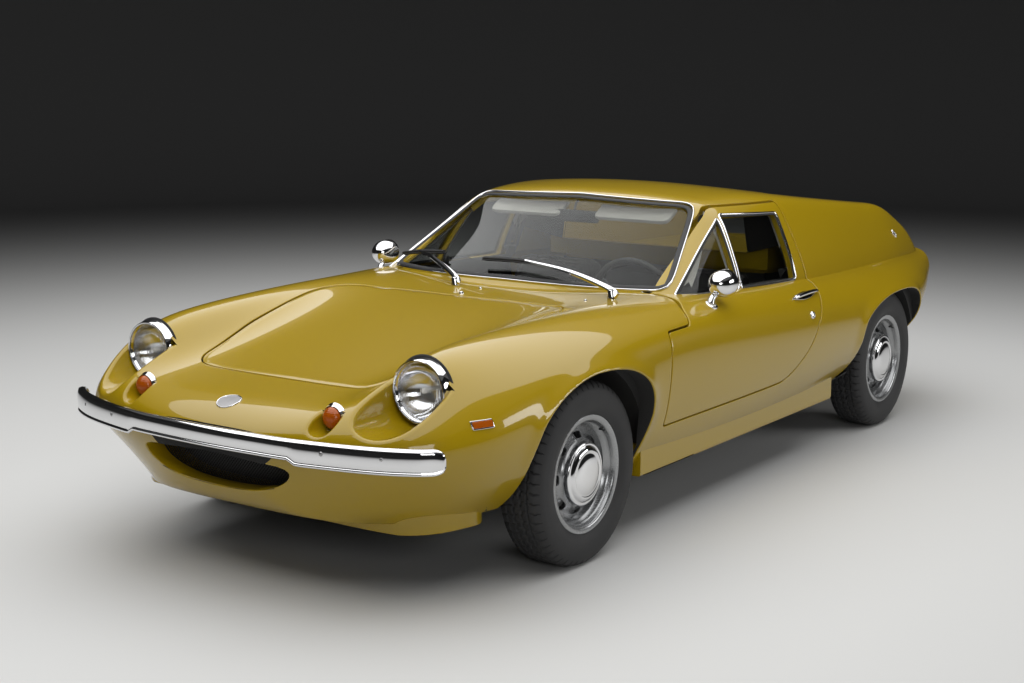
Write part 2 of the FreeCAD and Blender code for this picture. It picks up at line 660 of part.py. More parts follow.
# Windscreen and rear window openings, and the space between the sail panels
SCREEN = [("-578", "744"), ("0", "750"), ("578", "744"), ("586", "764"), ("478", "984"),
          ("440", "1000"), ("0", "1014"), ("-440", "1000"), ("-478", "984"), ("-586", "764")]
screen_prism = extrude("screen_prism", "yz", SCREEN, at("400"), at("1180"))
upper_above = cut("upper_above", upper, lower)
shell_upper = cut("upper_hollow", upper_above, cabin_space)
cowl = common("cowl", upper_above, box("cowl_zone", at("400"), at("760"), "-600", "600", "600",
                                       "766"))
front_body = fuse("front_body", common("front_less_cowl",
                                       cut("front_less_lid", lower_less_doors, bonnet_hole),
                                       front_zone), cut("cowl_strip", cowl, cabin_space, screen_prism))
pads = [box(f"jack_pad_{side}", at("jack_at - jack_pad"), at("jack_at + jack_pad"),
            f"{sign} * jack_side - 24", f"{sign} * jack_side + 24", "clearance_under",
            "clearance_under + 60")
        for side, sign in SIDES.items()]
floor_tub = cut("floor_tub", fuse("floor_padded", common("floor_block", lower_less_doors,
                                                         middle_zone), *pads), *jacks)
rear_body = common("rear_body", cut("rear_less_lid", lower_less_doors, lid_hole), rear_zone)

between = box("between_sails", at("bulkhead_at + bulkhead_thick"), at("3300"), "-fin_inner",
              "fin_inner", "450", FAR)
rear_prism = extrude("rear_window_prism", "yz", [("-430", "770"), ("430", "770"), ("400", "960"),
                                                 ("-400", "960")],
                     at("bulkhead_at - 10"), at("bulkhead_at + bulkhead_thick + 10"))
roof = cut("roof", shell_upper, screen_prism, between, rear_prism, cowl, *door_holes)
glass_layer = cut("glass_layer", upper_glass, upper_skin)
windscreen = cut("windscreen", common("screen_layer", glass_layer, screen_prism), lower)
rear_window = extrude("rear_window", "yz", [("-430", "770"), ("430", "770"), ("400", "960"),
                                            ("-400", "960")],
                      at("bulkhead_at + 8"), at("bulkhead_at + 14"))

nodes = {"front_body": front_body, "floor_tub": floor_tub, "rear_body": rear_body,
         "bonnet": bonnet, "deck_lid": deck_lid, "roof": roof, "windscreen": windscreen,
         "rear_window": rear_window}
whole = fuse("whole_form", lower, upper)
mirrors = {}
for side, sign in SIDES.items():
    reach = ("0", FAR) if sign > 0 else (f"-{FAR}", "0")
    pane = extrude(f"window_prism_{side}", "xz", WINDOW, *reach)
    bar = extrude(f"quarter_bar_{side}", "xz", QUARTER_BAR, *reach)
    opening = cut(f"window_opening_{side}", pane, bar)
    hole = common(f"window_hole_{side}", opening, doc.getObject(f"door_leaf_{side}"))
    thick = cut(f"door_body_{side}", common(f"door_within_{side}", whole, doors[side]),
                cut(f"door_cabin_{side}", upper_wall, box(f"door_low_{side}", at("300"),
                    at("1700"), -FAR, FAR, "300", "735")))
    door = cut(f"door_{side}", thick, hole)
    nodes[f"door_{side}"] = door
    nodes[f"door_glass_{side}"] = common(f"door_glass_{side}", glass_layer, hole)
    bullet = doc.addObject("Part::Ellipsoid", f"mirror_bullet_{side}")
    bind(bullet, Radius1=46, Radius2=60, Radius3=48, x=at("856"), y=f"{sign} * 738", z="766")
    stem = cylinder(f"mirror_stem_{side}", "z", "9", at("800"), f"{sign} * 724", "690", "70")
    nodes[f"mirror_{side}"] = cut(f"mirror_{side}", fuse(f"mirror_form_{side}", bullet, stem),
                                  door)
nodes["chassis"] = fuse("chassis", cross, backbone, yoke, *forks)

# Wipers: each a shaft through the cowl, an arm and a blade a little above the glass
WIPERS = {"near": [(489, -517, 738), (500, -510, 764), (590, -290, 798), (650, -60, 816)],
          "far": [(504, 138, 725), (516, 148, 756), (640, 340, 796), (716, 470, 806)]}
BLADES = {"near": [(636, -235, 800), (650, -60, 816), (640, 120, 812)],
          "far": [(690, 340, 816), (716, 470, 806), (735, 550, 798)]}


def rod(points, radius):
    """Straight round rods from point to point, with a ball at each bend."""
    places = [Vector(station_x(x), wide(y), high(z)) for x, y, z in points]
    rods = [Part.makeSphere(radius * 1.2, place) for place in places]
    for start, end in zip(places, places[1:]):
        rods.append(Part.makeCylinder(radius, (end - start).Length, start, end - start))
    return rods[0].multiFuse(rods[1:])


wiper_forms = []
for which, arm in WIPERS.items():
    foot = (arm[0][0], arm[0][1], arm[0][2] - 12)
    shaft = cut(f"wiper_shaft_{which}", feature(f"wiper_rod_{which}", rod([foot, arm[1]], 9)), whole)
    reach = rod(arm[1:], 4).fuse(rod(BLADES[which], 5))
    wiper_forms += [shaft, feature(f"wiper_form_{which}", reach)]
nodes["wipers"] = fuse("wipers", *wiper_forms)


def bumper(name, half_plan, low, high_end, thick):
    """A bar across the car: a smooth plan curve, with its long edges bevelled."""
    points = [(x, -y) for x, y in reversed(half_plan)] + half_plan[1:]
    bevel = thick / 3

    def section(level, inset):
        edges = []
        for shift in (inset, thick):
            curve = Part.BSplineCurve()
            curve.interpolate([Vector(x + shift, y, level) for x, y in points])
            edges.append(curve)
        outer, inner = edges
        return Part.Wire(Part.__sortEdges__([
            outer.toShape(), Part.makeLine(outer.EndPoint, inner.EndPoint), inner.toShape(),
            Part.makeLine(inner.StartPoint, outer.StartPoint)]))
    rise = abs(bevel)
    levels = [(low, bevel), (low + rise, 0), (high_end - rise, 0), (high_end, bevel)]
    return feature(name, Part.makeLoft([section(*level) for level in levels], True, True))


nose_x = axle_x - size.front_overhang
tail_x = rear_x + size.rear_overhang
FRONT_PLAN = [(nose_x, 0), (nose_x + 20, 330), (nose_x + 68, 540), (nose_x + 122, 665),
              (nose_x + 184, 736)]
REAR_PLAN = [(tail_x, 0), (tail_x - 4, 300), (tail_x - 14, 480), (tail_x - 32, 590)]
front_bar = bumper("front_bar", FRONT_PLAN, size.bumper_low, size.bumper_high,
                   size.bumper_thick)
rear_bar = bumper("rear_bar", REAR_PLAN, size.bumper_low, size.bumper_high,
                  -size.bumper_thick)
NOTCH = [("-334", "bumper_low - 2"), ("-306", "bumper_low + 13"), ("306", "bumper_low + 13"),
         ("334", "bumper_low - 2")]
notch = extrude("bumper_notch", "yz", NOTCH, at("-1000"), at("-780"))
bumper_front = cut("bumper_front", front_bar, lower, notch)
bumper_rear = cut("bumper_rear", rear_bar, lower)

# Grille: an egg-crate of upright and level bars in the intake
plate = extrude("grille_plate", "yz", GRILLE, at("-752"), at("-742"))
cells = []
for column in range(-11, 11):
    for level in range(5):
        cells.append(Part.makeBox(30, 22, 16, Vector(axle_x - 762, column * 26 + 2,
                                                     318 + level * 20)))
inside = extrude("grille_inside", "yz", [("-284", "402"), ("-252", "358"), ("-146", "325"),
                                         ("0", "317"), ("146", "325"), ("252", "358"),
                                         ("284", "402"), ("0", "412")], at("-770"), at("-735"))
grille = cut("grille", plate, common("grille_cells",
                                     feature("grille_holes", Part.makeCompound(cells)), inside))

nodes.update({"bumper_front": bumper_front, "bumper_rear": bumper_rear, "grille": grille})


def pair(name, make):
    """One node of two like pieces, one each side of the car."""
    return fuse(name, *[make(side, sign) for side, sign in SIDES.items()])


def disc(name, radius, start, length, place, height):
    """A pair of discs across X, given by their side place and height."""
    return pair(name, lambda side, sign: cylinder(f"{name}_{side}", "x", radius, start,
                                                  f"{sign} * {place}", height, length))


rims = disc("headlamp_ring", "lamp_radius", at("lamp_at - 26"), "26", "lamp_side", "lamp_height")
bowls = disc("headlamp_bowl", "lamp_radius - 8", at("lamp_at - 27"), "22", "lamp_side",
             "lamp_height")
nodes["headlamps"] = cut("headlamps", rims, bowls)
lens_form = disc("headlamp_lens_form", "lamp_radius - 8", at("lamp_at - 26"), "21", "lamp_side",
                 "lamp_height")
nodes["headlamp_lenses"] = fuse("headlamp_lenses", lens_form)
nodes["blinkers"] = disc("blinkers", "blinker_radius", at("blinker_at - 30"), "30",
                         "blinker_side", "blinker_height")


def tail_pair(side, sign):
    plane = behind(f"(rear_overhang - 30 - tail_rake * ({RAKE_TOP} - tail_lamp_height))")
    return fuse(f"tail_pair_{side}", *[
        cylinder(f"tail_lamp_{side}_{number}", "x", "tail_lamp_radius", f"{plane} - 20",
                 f"{sign} * (tail_lamp_side - {number} * tail_lamp_pitch)", "tail_lamp_height",
                 "20 + tail_lamp_out")
        for number in range(2)])


nodes["tail_lamps"] = cut("tail_lamps", pair("tail_lamp_forms", tail_pair), lower)
markers_outer = feature("marker_layer", lower_form(-6))
marker_forms = []
for side, sign in SIDES.items():
    marker_forms.append(box(f"marker_block_{side}", at("-560"), at("-492"),
                            -FAR if sign < 0 else 300, -300 if sign < 0 else FAR, "524", "548"))
nodes["side_markers"] = cut("side_markers", common("marker_within", markers_outer,
                                                   fuse("marker_blocks", *marker_forms)), lower)


# Wheels, tyres and what carries them
def ring(name, points):
    """Turns an outline of (across, radius) points about Y, at a wheel's centre."""
    sketch = outline(name + "_outline", "yz", points)
    turned = doc.addObject("Part::Revolution", name + "_turned")
    turned.Source = sketch
    turned.Axis = Vector(0, 1, 0)
    turned.Base = Vector()
    turned.Angle = 360
    turned.Solid = True
    return turned


RIM = [("66", "182"), ("60", "182"), ("58", "170"), ("42", "165"), ("34", "150"), ("-22", "150"),
       ("-42", "165"), ("-58", "170"), ("-60", "182"), ("-66", "182"), ("-66", "175"),
       ("-60", "163"), ("-44", "159"), ("-26", "144"), ("6", "144"), ("10", "118"),
       ("26", "96"), ("26", "62"), ("6", "42"), ("6", "spindle_radius + running_gap"),
       ("30", "spindle_radius + running_gap"), ("34", "60"), ("38", "70"), ("52", "86"),
       ("44", "92"), ("34", "98"), ("18", "122"), ("14", "144"), ("30", "145"), ("44", "158"),
       ("60", "163"), ("66", "175")]
CAP = [("38", "70"), ("52", "86"), ("60", "86"), ("68", "70"), ("73", "40"), ("75", "0"),
       ("56", "0"), ("56", "30"), ("44", "60"), ("34", "60")]
TYRE = [("57.5", "170.5"), ("59.5", "182.4"), ("66", "184"), ("75", "205"), ("77.5", "228"),
        ("74", "254"), ("64", "273"), ("52", "281"), ("30", "284"), ("-30", "284"),
        ("-52", "281"), ("-64", "273"), ("-74", "254"), ("-77.5", "228"), ("-75", "205"),
        ("-66", "184"), ("-59.5", "182.4"), ("-57.5", "170.5")]
VENT = [(-13, 104), (13, 104), (19, 126), (-19, 126), (-13, 104)]
corners = {"front_left": (AXLE, -1), "front_right": (AXLE, 1), "rear_left": (REAR, -1),
           "rear_right": (REAR, 1)}
for corner, (place, sign) in corners.items():
    for kind, points in (("wheel", RIM), ("tyre", TYRE)):
        form = ring(f"{kind}_{corner}", points)
        if kind == "wheel":
            cap = ring(f"cap_{corner}", CAP)
            form = fuse(f"wheel_form_{corner}", form, cap)
            vents = []
            for number in range(int(size.vent_count)):
                hole = Part.makePolygon([Vector(x, -10, z) for x, z in VENT])
                hole = Part.Face(hole).extrude(Vector(0, 60, 0))
                hole.rotate(Vector(), Vector(0, 1, 0), number * 360 / size.vent_count)
                vents.append(hole)
            form = cut(f"wheel_vented_{corner}", form,
                       feature(f"vents_{corner}", Part.makeCompound(vents)))
        if sign < 0:
            form.Placement = Placement(Vector(), Rotation(Vector(0, 0, 1), 180))
        nodes[f"{kind}_{corner}"] = bind(form, x=place, y=f"{sign} * track / 2", z="tyre_radius")

# Front suspension: arms above and below a knuckle, with pins on its steering axis
def front_arms(side, sign):
    plan = [(x, f"{sign} * ({y})") for x, y in
            [(at("-120"), "250"), (at("120"), "250"), (at("16"), "kingpin_side + 14"),
             (at("-16"), "kingpin_side + 14")]]
    slot = [(x, f"{sign} * ({y})") for x, y in
            [(at("-76"), "272"), (at("76"), "272"), (at("12"), "470"), (at("-12"), "470")]]
    arms = []
    for level in ("arm_low", "arm_high"):
        plate = extrude(f"{level}_plate_{side}", "xy", plan, level, f"{level} + arm_thick")
        arms.append(cut(f"{level}_{side}", plate,
                        extrude(f"{level}_slot_{side}", "xy", slot, "100", "500")))
    pins = [cylinder(f"lower_pin_{side}", "z", "pin_radius", at("0"), f"{sign} * kingpin_side",
                     "192", "40"),
            cylinder(f"upper_pin_{side}", "z", "pin_radius", at("0"), f"{sign} * kingpin_side",
                     "368", "40")]
    damper = [cylinder(f"damper_{side}", "z", "damper_radius", at("0"),
                       f"{sign} * damper_side", "200", "200")]
    return fuse(f"front_link_{side}", *arms, *pins, *damper)


nodes["front_suspension"] = pair("front_suspension", front_arms)


def knuckle(side, sign):
    """The upright on its steering axis, its brake disc and the wheel's spindle."""
    post = cylinder(f"knuckle_post_{side}", "z", "knuckle_radius", at("0"),
                    f"{sign} * kingpin_side", "200 + seat_gap", "200 - 2 * seat_gap")
    start = "kingpin_side" if sign > 0 else "-(track / 2 + hub_out)"
    spindle = cylinder(f"spindle_{side}", "y", "spindle_radius", at("0"), start, "tyre_radius",
                       "track / 2 + hub_out - kingpin_side")
    disc_start = ("kingpin_side + brake_out" if sign > 0
                  else "-(kingpin_side + brake_out + brake_thick)")
    brake = cylinder(f"brake_{side}", "y", "brake_radius", at("0"), disc_start, "tyre_radius",
                     "brake_thick")
    bore = cylinder(f"kingpin_bore_{side}", "z", "pin_radius + running_gap", at("0"),
                    f"{sign} * kingpin_side", "190", "220")
    return cut(f"knuckle_{side}", fuse(f"knuckle_form_{side}", post, spindle, brake), bore)


for side, sign in SIDES.items():
    nodes[f"knuckle_{side}"] = knuckle(side, sign)


def rear_carrier(side, sign):
    """Hub carrier, spindle, drive shaft and trailing arm."""
    low = "upright_at" if sign > 0 else "-upright_at - upright_thick"
    upright = box(f"rear_upright_{side}", behind("-35"), behind("35"), low,
                  f"{low} + upright_thick", "190", "400")
    start = "upright_at + 5" if sign > 0 else "-(track / 2 + hub_out)"
    spindle = cylinder(f"rear_spindle_{side}", "y", "spindle_radius", behind("0"), start,
                       "tyre_radius", "track / 2 + hub_out - upright_at - 5")
    disc_start = ("upright_at + upright_thick + 4" if sign > 0
                  else "-(upright_at + upright_thick + 4 + brake_thick)")
    brake = cylinder(f"rear_brake_{side}", "y", "brake_radius", behind("0"), disc_start,
                     "tyre_radius", "brake_thick")
    start = "gearbox_half" if sign > 0 else "-upright_at - 5"
    shaft = cylinder(f"drive_shaft_{side}", "y", "shaft_radius", behind("0"), start,
                     "tyre_radius", "upright_at + 5 - gearbox_half")
    link = cylinder(f"rear_link_{side}", "y", "link_radius", behind("0"), start, "210",
                    "upright_at + 5 - gearbox_half")
    return fuse(f"rear_carrier_{side}", upright, spindle, brake, shaft, link)


nodes["rear_suspension"] = pair("rear_suspension", rear_carrier)

# Engine with its gearbox, and the silencer behind it
engine = box("engine", at("engine_front"), at("engine_front + engine_length"), "-engine_half",
             "engine_half", "engine_low", "engine_high")
gearbox = box("gearbox", at("engine_front + engine_length"),
              at("engine_front + engine_length + gearbox_length"), "-gearbox_half",
              "gearbox_half", "gearbox_low", "gearbox_high")
nodes["power_unit"] = fuse("power_unit", engine, gearbox)
silencer = cylinder("silencer", "y", "exhaust_radius", behind("500"), "-260", "360", "520")
tailpipe = cylinder("tailpipe", "x", "24", behind("500"), "-180", "310", "330")
hanger = box("silencer_hanger", at("engine_front + engine_length + gearbox_length"),
             behind("500"), "-40", "40", "350", "370")
nodes["exhaust"] = fuse("exhaust", silencer, tailpipe, hanger)

# Seats, dashboard and steering wheel
SEAT = [("900", "floor_top"), ("890", "330"), ("940", "372"), ("1180", "318"), ("1260", "372"),
        ("1420", "720"), ("1450", "760"), ("1520", "745"), ("1540", "690"), ("1400", "380"),
        ("1330", "floor_top")]


def seat_form(side, sign):
    low, high_end = f"{sign} * seat_side - seat_width / 2", f"{sign} * seat_side + seat_width / 2"
    return extrude(f"seat_{side}", "xz", [(at(x), f"{z} + seat_gap") for x, z in SEAT], low,
                   high_end)


nodes["seats"] = pair("seats", seat_form)
DASH = [("600", "590"), ("600", "726"), ("680", "726"), ("800", "700"), ("830", "665"),
        ("820", "570"), ("760", "560")]
lean = math.radians(20)
ring_at = Vector(axle_x + 985, -size.column_side, 640)
toward = Vector(-math.cos(lean), 0, -math.sin(lean))
facing = Rotation(Vector(0, 0, 1), toward)
dash_form = extrude("dashboard_form", "xz", [(at(x), z) for x, z in DASH], "-door_inner + 32",
                    "door_inner - 32")
shaft_bore = feature("column_bore", Part.makeCylinder(size.column_radius + size.running_gap, 260,
                                                      ring_at + toward * 60, toward))
nodes["dashboard"] = cut("dashboard", dash_form, shaft_bore, front_body, windscreen, upper_above)
hoop = doc.addObject("Part::Torus", "hoop")
bind(hoop, Radius1="wheel_ring", Radius2="wheel_grip")
hoop.Placement = Placement(ring_at, facing)
column = feature("column", Part.makeCylinder(size.column_radius, 220, ring_at, toward))
hub = feature("steering_hub", Part.makeCylinder(32, 26, ring_at - toward * 6, toward))
spokes = []
for number in range(3):
    spoke = Part.makeBox(26, size.wheel_ring, 5, Vector(-13, 0, -2.5))
    spoke.rotate(Vector(), Vector(0, 0, 1), 90 + 120 * number)
    spoke.Placement = Placement(ring_at, facing).multiply(spoke.Placement)
    spokes.append(feature(f"spoke_{number}", spoke))
nodes["steering_wheel"] = fuse("steering_wheel", hoop, column, hub, *spokes)

doc.recompute()
os.makedirs("parts", exist_ok=True)
for piece in doc.Objects:
    if "Invalid" in piece.State or "Error" in piece.State:
        raise RuntimeError(f"{piece.Name} failed: {piece.State}")
for name, piece in nodes.items():
    piece.Label = name
    if piece.Shape.isNull() or not piece.Shape.isValid():
        raise RuntimeError(f"{name} has no valid shape")
    piece.Shape.exportStep(f"parts/{name}.step")
print(len(nodes), "pieces written")
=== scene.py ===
import bpy
import json
import math
import numpy as np
from mathutils import Matrix, Vector


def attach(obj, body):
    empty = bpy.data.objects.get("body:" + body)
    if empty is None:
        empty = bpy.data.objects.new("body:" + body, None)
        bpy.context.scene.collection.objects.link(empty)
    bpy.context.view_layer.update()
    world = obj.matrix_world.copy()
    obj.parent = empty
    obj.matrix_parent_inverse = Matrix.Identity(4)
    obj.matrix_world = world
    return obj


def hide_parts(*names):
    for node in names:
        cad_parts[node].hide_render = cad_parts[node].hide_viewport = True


# A low two-seat coupe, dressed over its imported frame. Metres; X runs to the tail.
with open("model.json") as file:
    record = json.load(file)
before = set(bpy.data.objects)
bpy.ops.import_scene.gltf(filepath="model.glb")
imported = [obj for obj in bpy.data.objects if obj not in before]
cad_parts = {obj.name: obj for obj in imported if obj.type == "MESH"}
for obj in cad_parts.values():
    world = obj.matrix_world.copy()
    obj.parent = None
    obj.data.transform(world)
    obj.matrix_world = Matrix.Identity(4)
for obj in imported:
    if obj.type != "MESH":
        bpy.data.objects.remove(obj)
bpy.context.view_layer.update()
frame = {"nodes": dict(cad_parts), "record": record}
scene = bpy.context.scene
axleAt = -1.127                      # the front axle's place along X
wheelbase = 2.311
sides = {"left": -1, "right": 1}
print("frame loaded")


def at(place):                       # millimetres behind the front axle, to X
    return axleAt + place / 1000


# Shapes.
# Cubic spline weights: each of count poles gets its share at every parameter t.
def splineWeights(count, t):
    knots = np.concatenate([np.zeros(3), np.linspace(0, 1, count - 2), np.ones(3)])
    t = np.clip(t, 0, 1 - 1e-12)[:, None]
    weights = ((knots[:-1] <= t) & (t < knots[1:])).astype(float)
    for degree in (1, 2, 3):
        reach = len(knots) - 1 - degree
        below = knots[degree:degree + reach] - knots[:reach]
        above = knots[degree + 1:degree + 1 + reach] - knots[1:reach + 1]
        rising = np.where(below > 0, (t - knots[:reach]) / np.where(below > 0, below, 1), 0)
        falling = np.where(above > 0, (knots[degree + 1:degree + 1 + reach] - t)
                           / np.where(above > 0, above, 1), 0)
        weights = rising * weights[:, :reach] + falling * weights[:, 1:reach + 1]
    return weights


# Smooth curve through a line's points (place, half width, height), at each station.
def throughLine(line, stations):
    line = np.array(line, float)
    place, values = line[:, 0], line[:, 1:]
    slope = np.empty_like(values)
    slope[1:-1] = (values[2:] - values[:-2]) / (place[2:] - place[:-2])[:, None]
    slope[0] = (values[1] - values[0]) / (place[1] - place[0])
    slope[-1] = (values[-1] - values[-2]) / (place[-1] - place[-2])
    step = np.clip(np.searchsorted(place, stations, side="left") - 1, 0, len(place) - 2)
    span = (place[step + 1] - place[step])[:, None]
    share = ((stations - place[step]) / (place[step + 1] - place[step]))[:, None]
    gap = values[step + 1] - values[step]
    rise, fall = slope[step] * span, slope[step + 1] * span
    return (values[step] + share * rise + share ** 2 * (3 * gap - 2 * rise - fall)
            + share ** 3 * (rise + fall - 2 * gap))


# A skin: poles at every line and station, mirrored over the middle; the tail leans forward
# the lower it gets. The result is a function of two parameters from 0 to 1.
def makeSkin(lines, stations, foot=None):
    stations = np.array(stations, float)
    half = np.stack([throughLine(line, stations) for line in lines], 1)
    if foot is not None:
        half[:, 0, 1] = foot
    lean = 0.45 * np.clip((stations - 2550) / (3094 - 2550), 0, 1)
    x = stations[:, None] - lean[:, None] * (655 - half[..., 1])
    left = np.stack([x, -half[..., 0], half[..., 1]], -1)
    right = left[:, -2::-1] * [1, -1, 1]
    poles = np.concatenate([left, right], 1) / 1000 + [axleAt, 0, 0]

    def evaluate(u, v):
        rows = np.tensordot(splineWeights(poles.shape[0], u), poles, (1, 0))
        return np.einsum("nj,njk->nk", splineWeights(poles.shape[1], v), rows)
    return evaluate


# Outward unit normal of a surface of two parameters: the cross product of its slopes.
def normalsOf(evaluate, u, v, flip=1.0):
    step = 1e-4
    u, v = np.clip(u, step, 1 - step), np.clip(v, step, 1 - step)
    across = np.cross(evaluate(u + step, v) - evaluate(u - step, v),
                      evaluate(u, v + step) - evaluate(u, v - step))
    return flip * across / np.maximum(np.linalg.norm(across, axis=1), 1e-12)[:, None]


# Signed distance to a closed outline in a plane: below 0 inside, above 0 outside.
def fromOutline(points, outline):
    outline = np.asarray(outline, float)
    result = np.full(len(points), 1e9)
    inside = np.zeros(len(points), bool)
    for start, end in zip(outline, np.roll(outline, -1, 0)):
        edge = end - start
        offset = points - start
        share = np.clip(offset @ edge / max(edge @ edge, 1e-18), 0, 1)
        result = np.minimum(result, ((offset - share[:, None] * edge) ** 2).sum(1))
        between = (start[1] > points[:, 1]) != (end[1] > points[:, 1])
        crossing = start[0] + (points[:, 1] - start[1]) * edge[0] / (edge[1] if edge[1] else 1e-12)
        inside ^= between & (points[:, 0] < crossing)
    return np.where(inside, -1, 1) * np.sqrt(result)


# A test for panels: distance to an outline seen along one axis, on one side of the car.
def seen(outline, plane, side=0, keep="inside", margin=0.0):
    axes = {"side": (0, 2), "plan": (0, 1), "front": (1, 2)}[plane]
    outline = np.asarray(outline, float)
    sign = 1 if keep == "inside" else -1

    def value(points):
        result = fromOutline(points[:, axes], outline)
        if side:
            result = np.where(points[:, 1] * side > 0.02, result, 1.0)
        return sign * result + margin
    return value


# Triangles of a grid over two parameters, with their parameters as points.
def gridOver(uRange, vRange, uCount, vCount):
    u, v = np.meshgrid(np.linspace(*uRange, uCount), np.linspace(*vRange, vCount), indexing="ij")
    index = np.arange(uCount * vCount).reshape(uCount, vCount)
    a, b, c, d = index[:-1, :-1], index[1:, :-1], index[1:, 1:], index[:-1, 1:]
    even = (np.add.outer(np.arange(uCount - 1), np.arange(vCount - 1)) % 2 == 0)[..., None]
    first = np.where(even, np.stack([a, b, c], -1), np.stack([a, b, d], -1))
    second = np.where(even, np.stack([a, c, d], -1), np.stack([b, c, d], -1))
    triangles = np.concatenate([first.reshape(-1, 3), second.reshape(-1, 3)])
    return np.stack([u.ravel(), v.ravel()], 1), triangles


# Cuts triangles where a test passes from below 0 (kept) to above: crossing points are found by
# repeated straight-line guesses, then each cut triangle becomes one or two smaller ones.
def clipTriangles(params, triangles, test):
    value = test(params)
    value = np.where(np.abs(value) < 1e-9, 1e-9, value)
    inside = value < 0
    count = inside[triangles].sum(1)
    whole = triangles[count == 3]
    cutOnes = triangles[(count == 1) | (count == 2)]
    if not len(cutOnes):
        return params, whole
    odd = inside[cutOnes].sum(1) == 1             # the vertex that is alone on its side
    alone = np.argmax(inside[cutOnes] == odd[:, None], axis=1)
    rows = np.arange(len(cutOnes))
    a, b, c = (cutOnes[rows, (alone + step) % 3] for step in range(3))
    edges = np.concatenate([np.stack([a, b], 1), np.stack([a, c], 1)])
    unique, place = np.unique(np.sort(edges, 1), axis=0, return_inverse=True)
    place = place.reshape(-1)
    low, high = params[unique[:, 0]].copy(), params[unique[:, 1]].copy()
    lowValue, highValue = value[unique[:, 0]].copy(), value[unique[:, 1]].copy()
    for _ in range(5):
        share = (lowValue / (lowValue - highValue))[:, None]
        share = np.clip(share, 0.02, 0.98)
        middle = low + share * (high - low)
        found = test(middle)
        same = (found < 0) == (lowValue < 0)
        low = np.where(same[:, None], middle, low)
        high = np.where(same[:, None], high, middle)
        lowValue = np.where(same, found, lowValue)
        highValue = np.where(same, highValue, found)
    share = (lowValue / (lowValue - highValue + 1e-30))[:, None]
    crossing = low + np.clip(share, 0, 1) * (high - low)
    start = len(params)
    ab, ac = start + place[:len(a)], start + place[len(a):]
    pieces = [whole, np.stack([a, ab, ac], 1)[odd], np.stack([ab, b, c], 1)[~odd],
              np.stack([ab, c, ac], 1)[~odd]]
    return np.concatenate([params, crossing]), np.concatenate(pieces)


def level(height):                               # a lift that is the same everywhere
    return lambda points, normals: np.full(len(points), height)


# Part of a surface, kept where every cut is below 0. Each cut is a test on points with what its
# edge becomes: a roll of a radius, then a wall to a depth or to a plane, or nothing at all.
def cutPanel(evaluate, counts, cuts, uRange=(0, 1), vRange=(0, 1), flip=1.0, lift=None):
    def asParams(test):
        return lambda params: test(evaluate(params[:, 0], params[:, 1]))
    params, triangles = gridOver(uRange, vRange, *counts)
    for cut in cuts:
        params, triangles = clipTriangles(params, triangles, asParams(cut["test"]))
    used, triangles = np.unique(triangles, return_inverse=True)
    triangles = triangles.reshape(-1, 3)
    params = params[used]
    points = evaluate(params[:, 0], params[:, 1])
    normals = normalsOf(evaluate, params[:, 0], params[:, 1], flip)
    if flip < 0:
        triangles = triangles[:, ::-1]
    base = points
    if lift is not None:
        points = points + normals * lift(points, normals)[:, None]
    edges = triangles[:, [0, 1, 1, 2, 2, 0]].reshape(-1, 2)
    key = np.sort(edges, 1)
    _, inverse, times = np.unique(key, axis=0, return_inverse=True, return_counts=True)
    rim = edges[times[inverse.reshape(-1)] == 1]
    rim = rim[np.linalg.norm(points[rim[:, 0]] - points[rim[:, 1]], axis=1) > 1e-7]
    groups = [triangles]
    allPoints = [points]
    total = len(points)
    for cut in cuts:
        if cut.get("roll") is None:
            continue
        value = np.abs(cut["test"](base))
        mine = rim[(value[rim] < 3e-4).all(1)]
        if not len(mine):
            continue
        direction = points[mine[:, 1]] - points[mine[:, 0]]
        out = np.zeros_like(points)
        side = np.cross(direction, normals[mine[:, 0]] + normals[mine[:, 1]])
        np.add.at(out, mine[:, 0], side)
        np.add.at(out, mine[:, 1], side)
        members, mine = np.unique(mine, return_inverse=True)
        mine = mine.reshape(-1, 2)
        out = out[members]
        out /= np.maximum(np.linalg.norm(out, axis=1), 1e-12)[:, None]
        start, normal, radius = points[members], normals[members], cut["roll"]
        rings = []
        for angle in np.radians([22.5, 45, 67.5, 90]):
            rings.append(start + out * radius * math.sin(angle)
                         - normal * radius * (1 - math.cos(angle)))
        if "plane" in cut:
            axis, planeAt = cut["plane"]
            wall = rings[-1].copy()
            inner = np.minimum(planeAt, abs(wall[:, axis]) - .010)
            wall[:, axis] = np.sign(wall[:, axis]) * inner if axis == 1 else planeAt
            rings += [wall]
        else:
            rings.append(rings[-1] - normal * cut["depth"])
        ringIndex = [members] + [total + len(members) * k + np.arange(len(members))
                                 for k in range(len(rings))]
        total += len(members) * len(rings)
        allPoints += rings
        for near, far in zip(ringIndex, ringIndex[1:]):
            p, q, r, s = near[mine[:, 0]], near[mine[:, 1]], far[mine[:, 1]], far[mine[:, 0]]
            groups += [np.stack([p, s, r], 1), np.stack([p, r, q], 1)]
    points = np.concatenate(allPoints)
    faces = np.concatenate(groups)
    return points, faces, triangles, params, normals


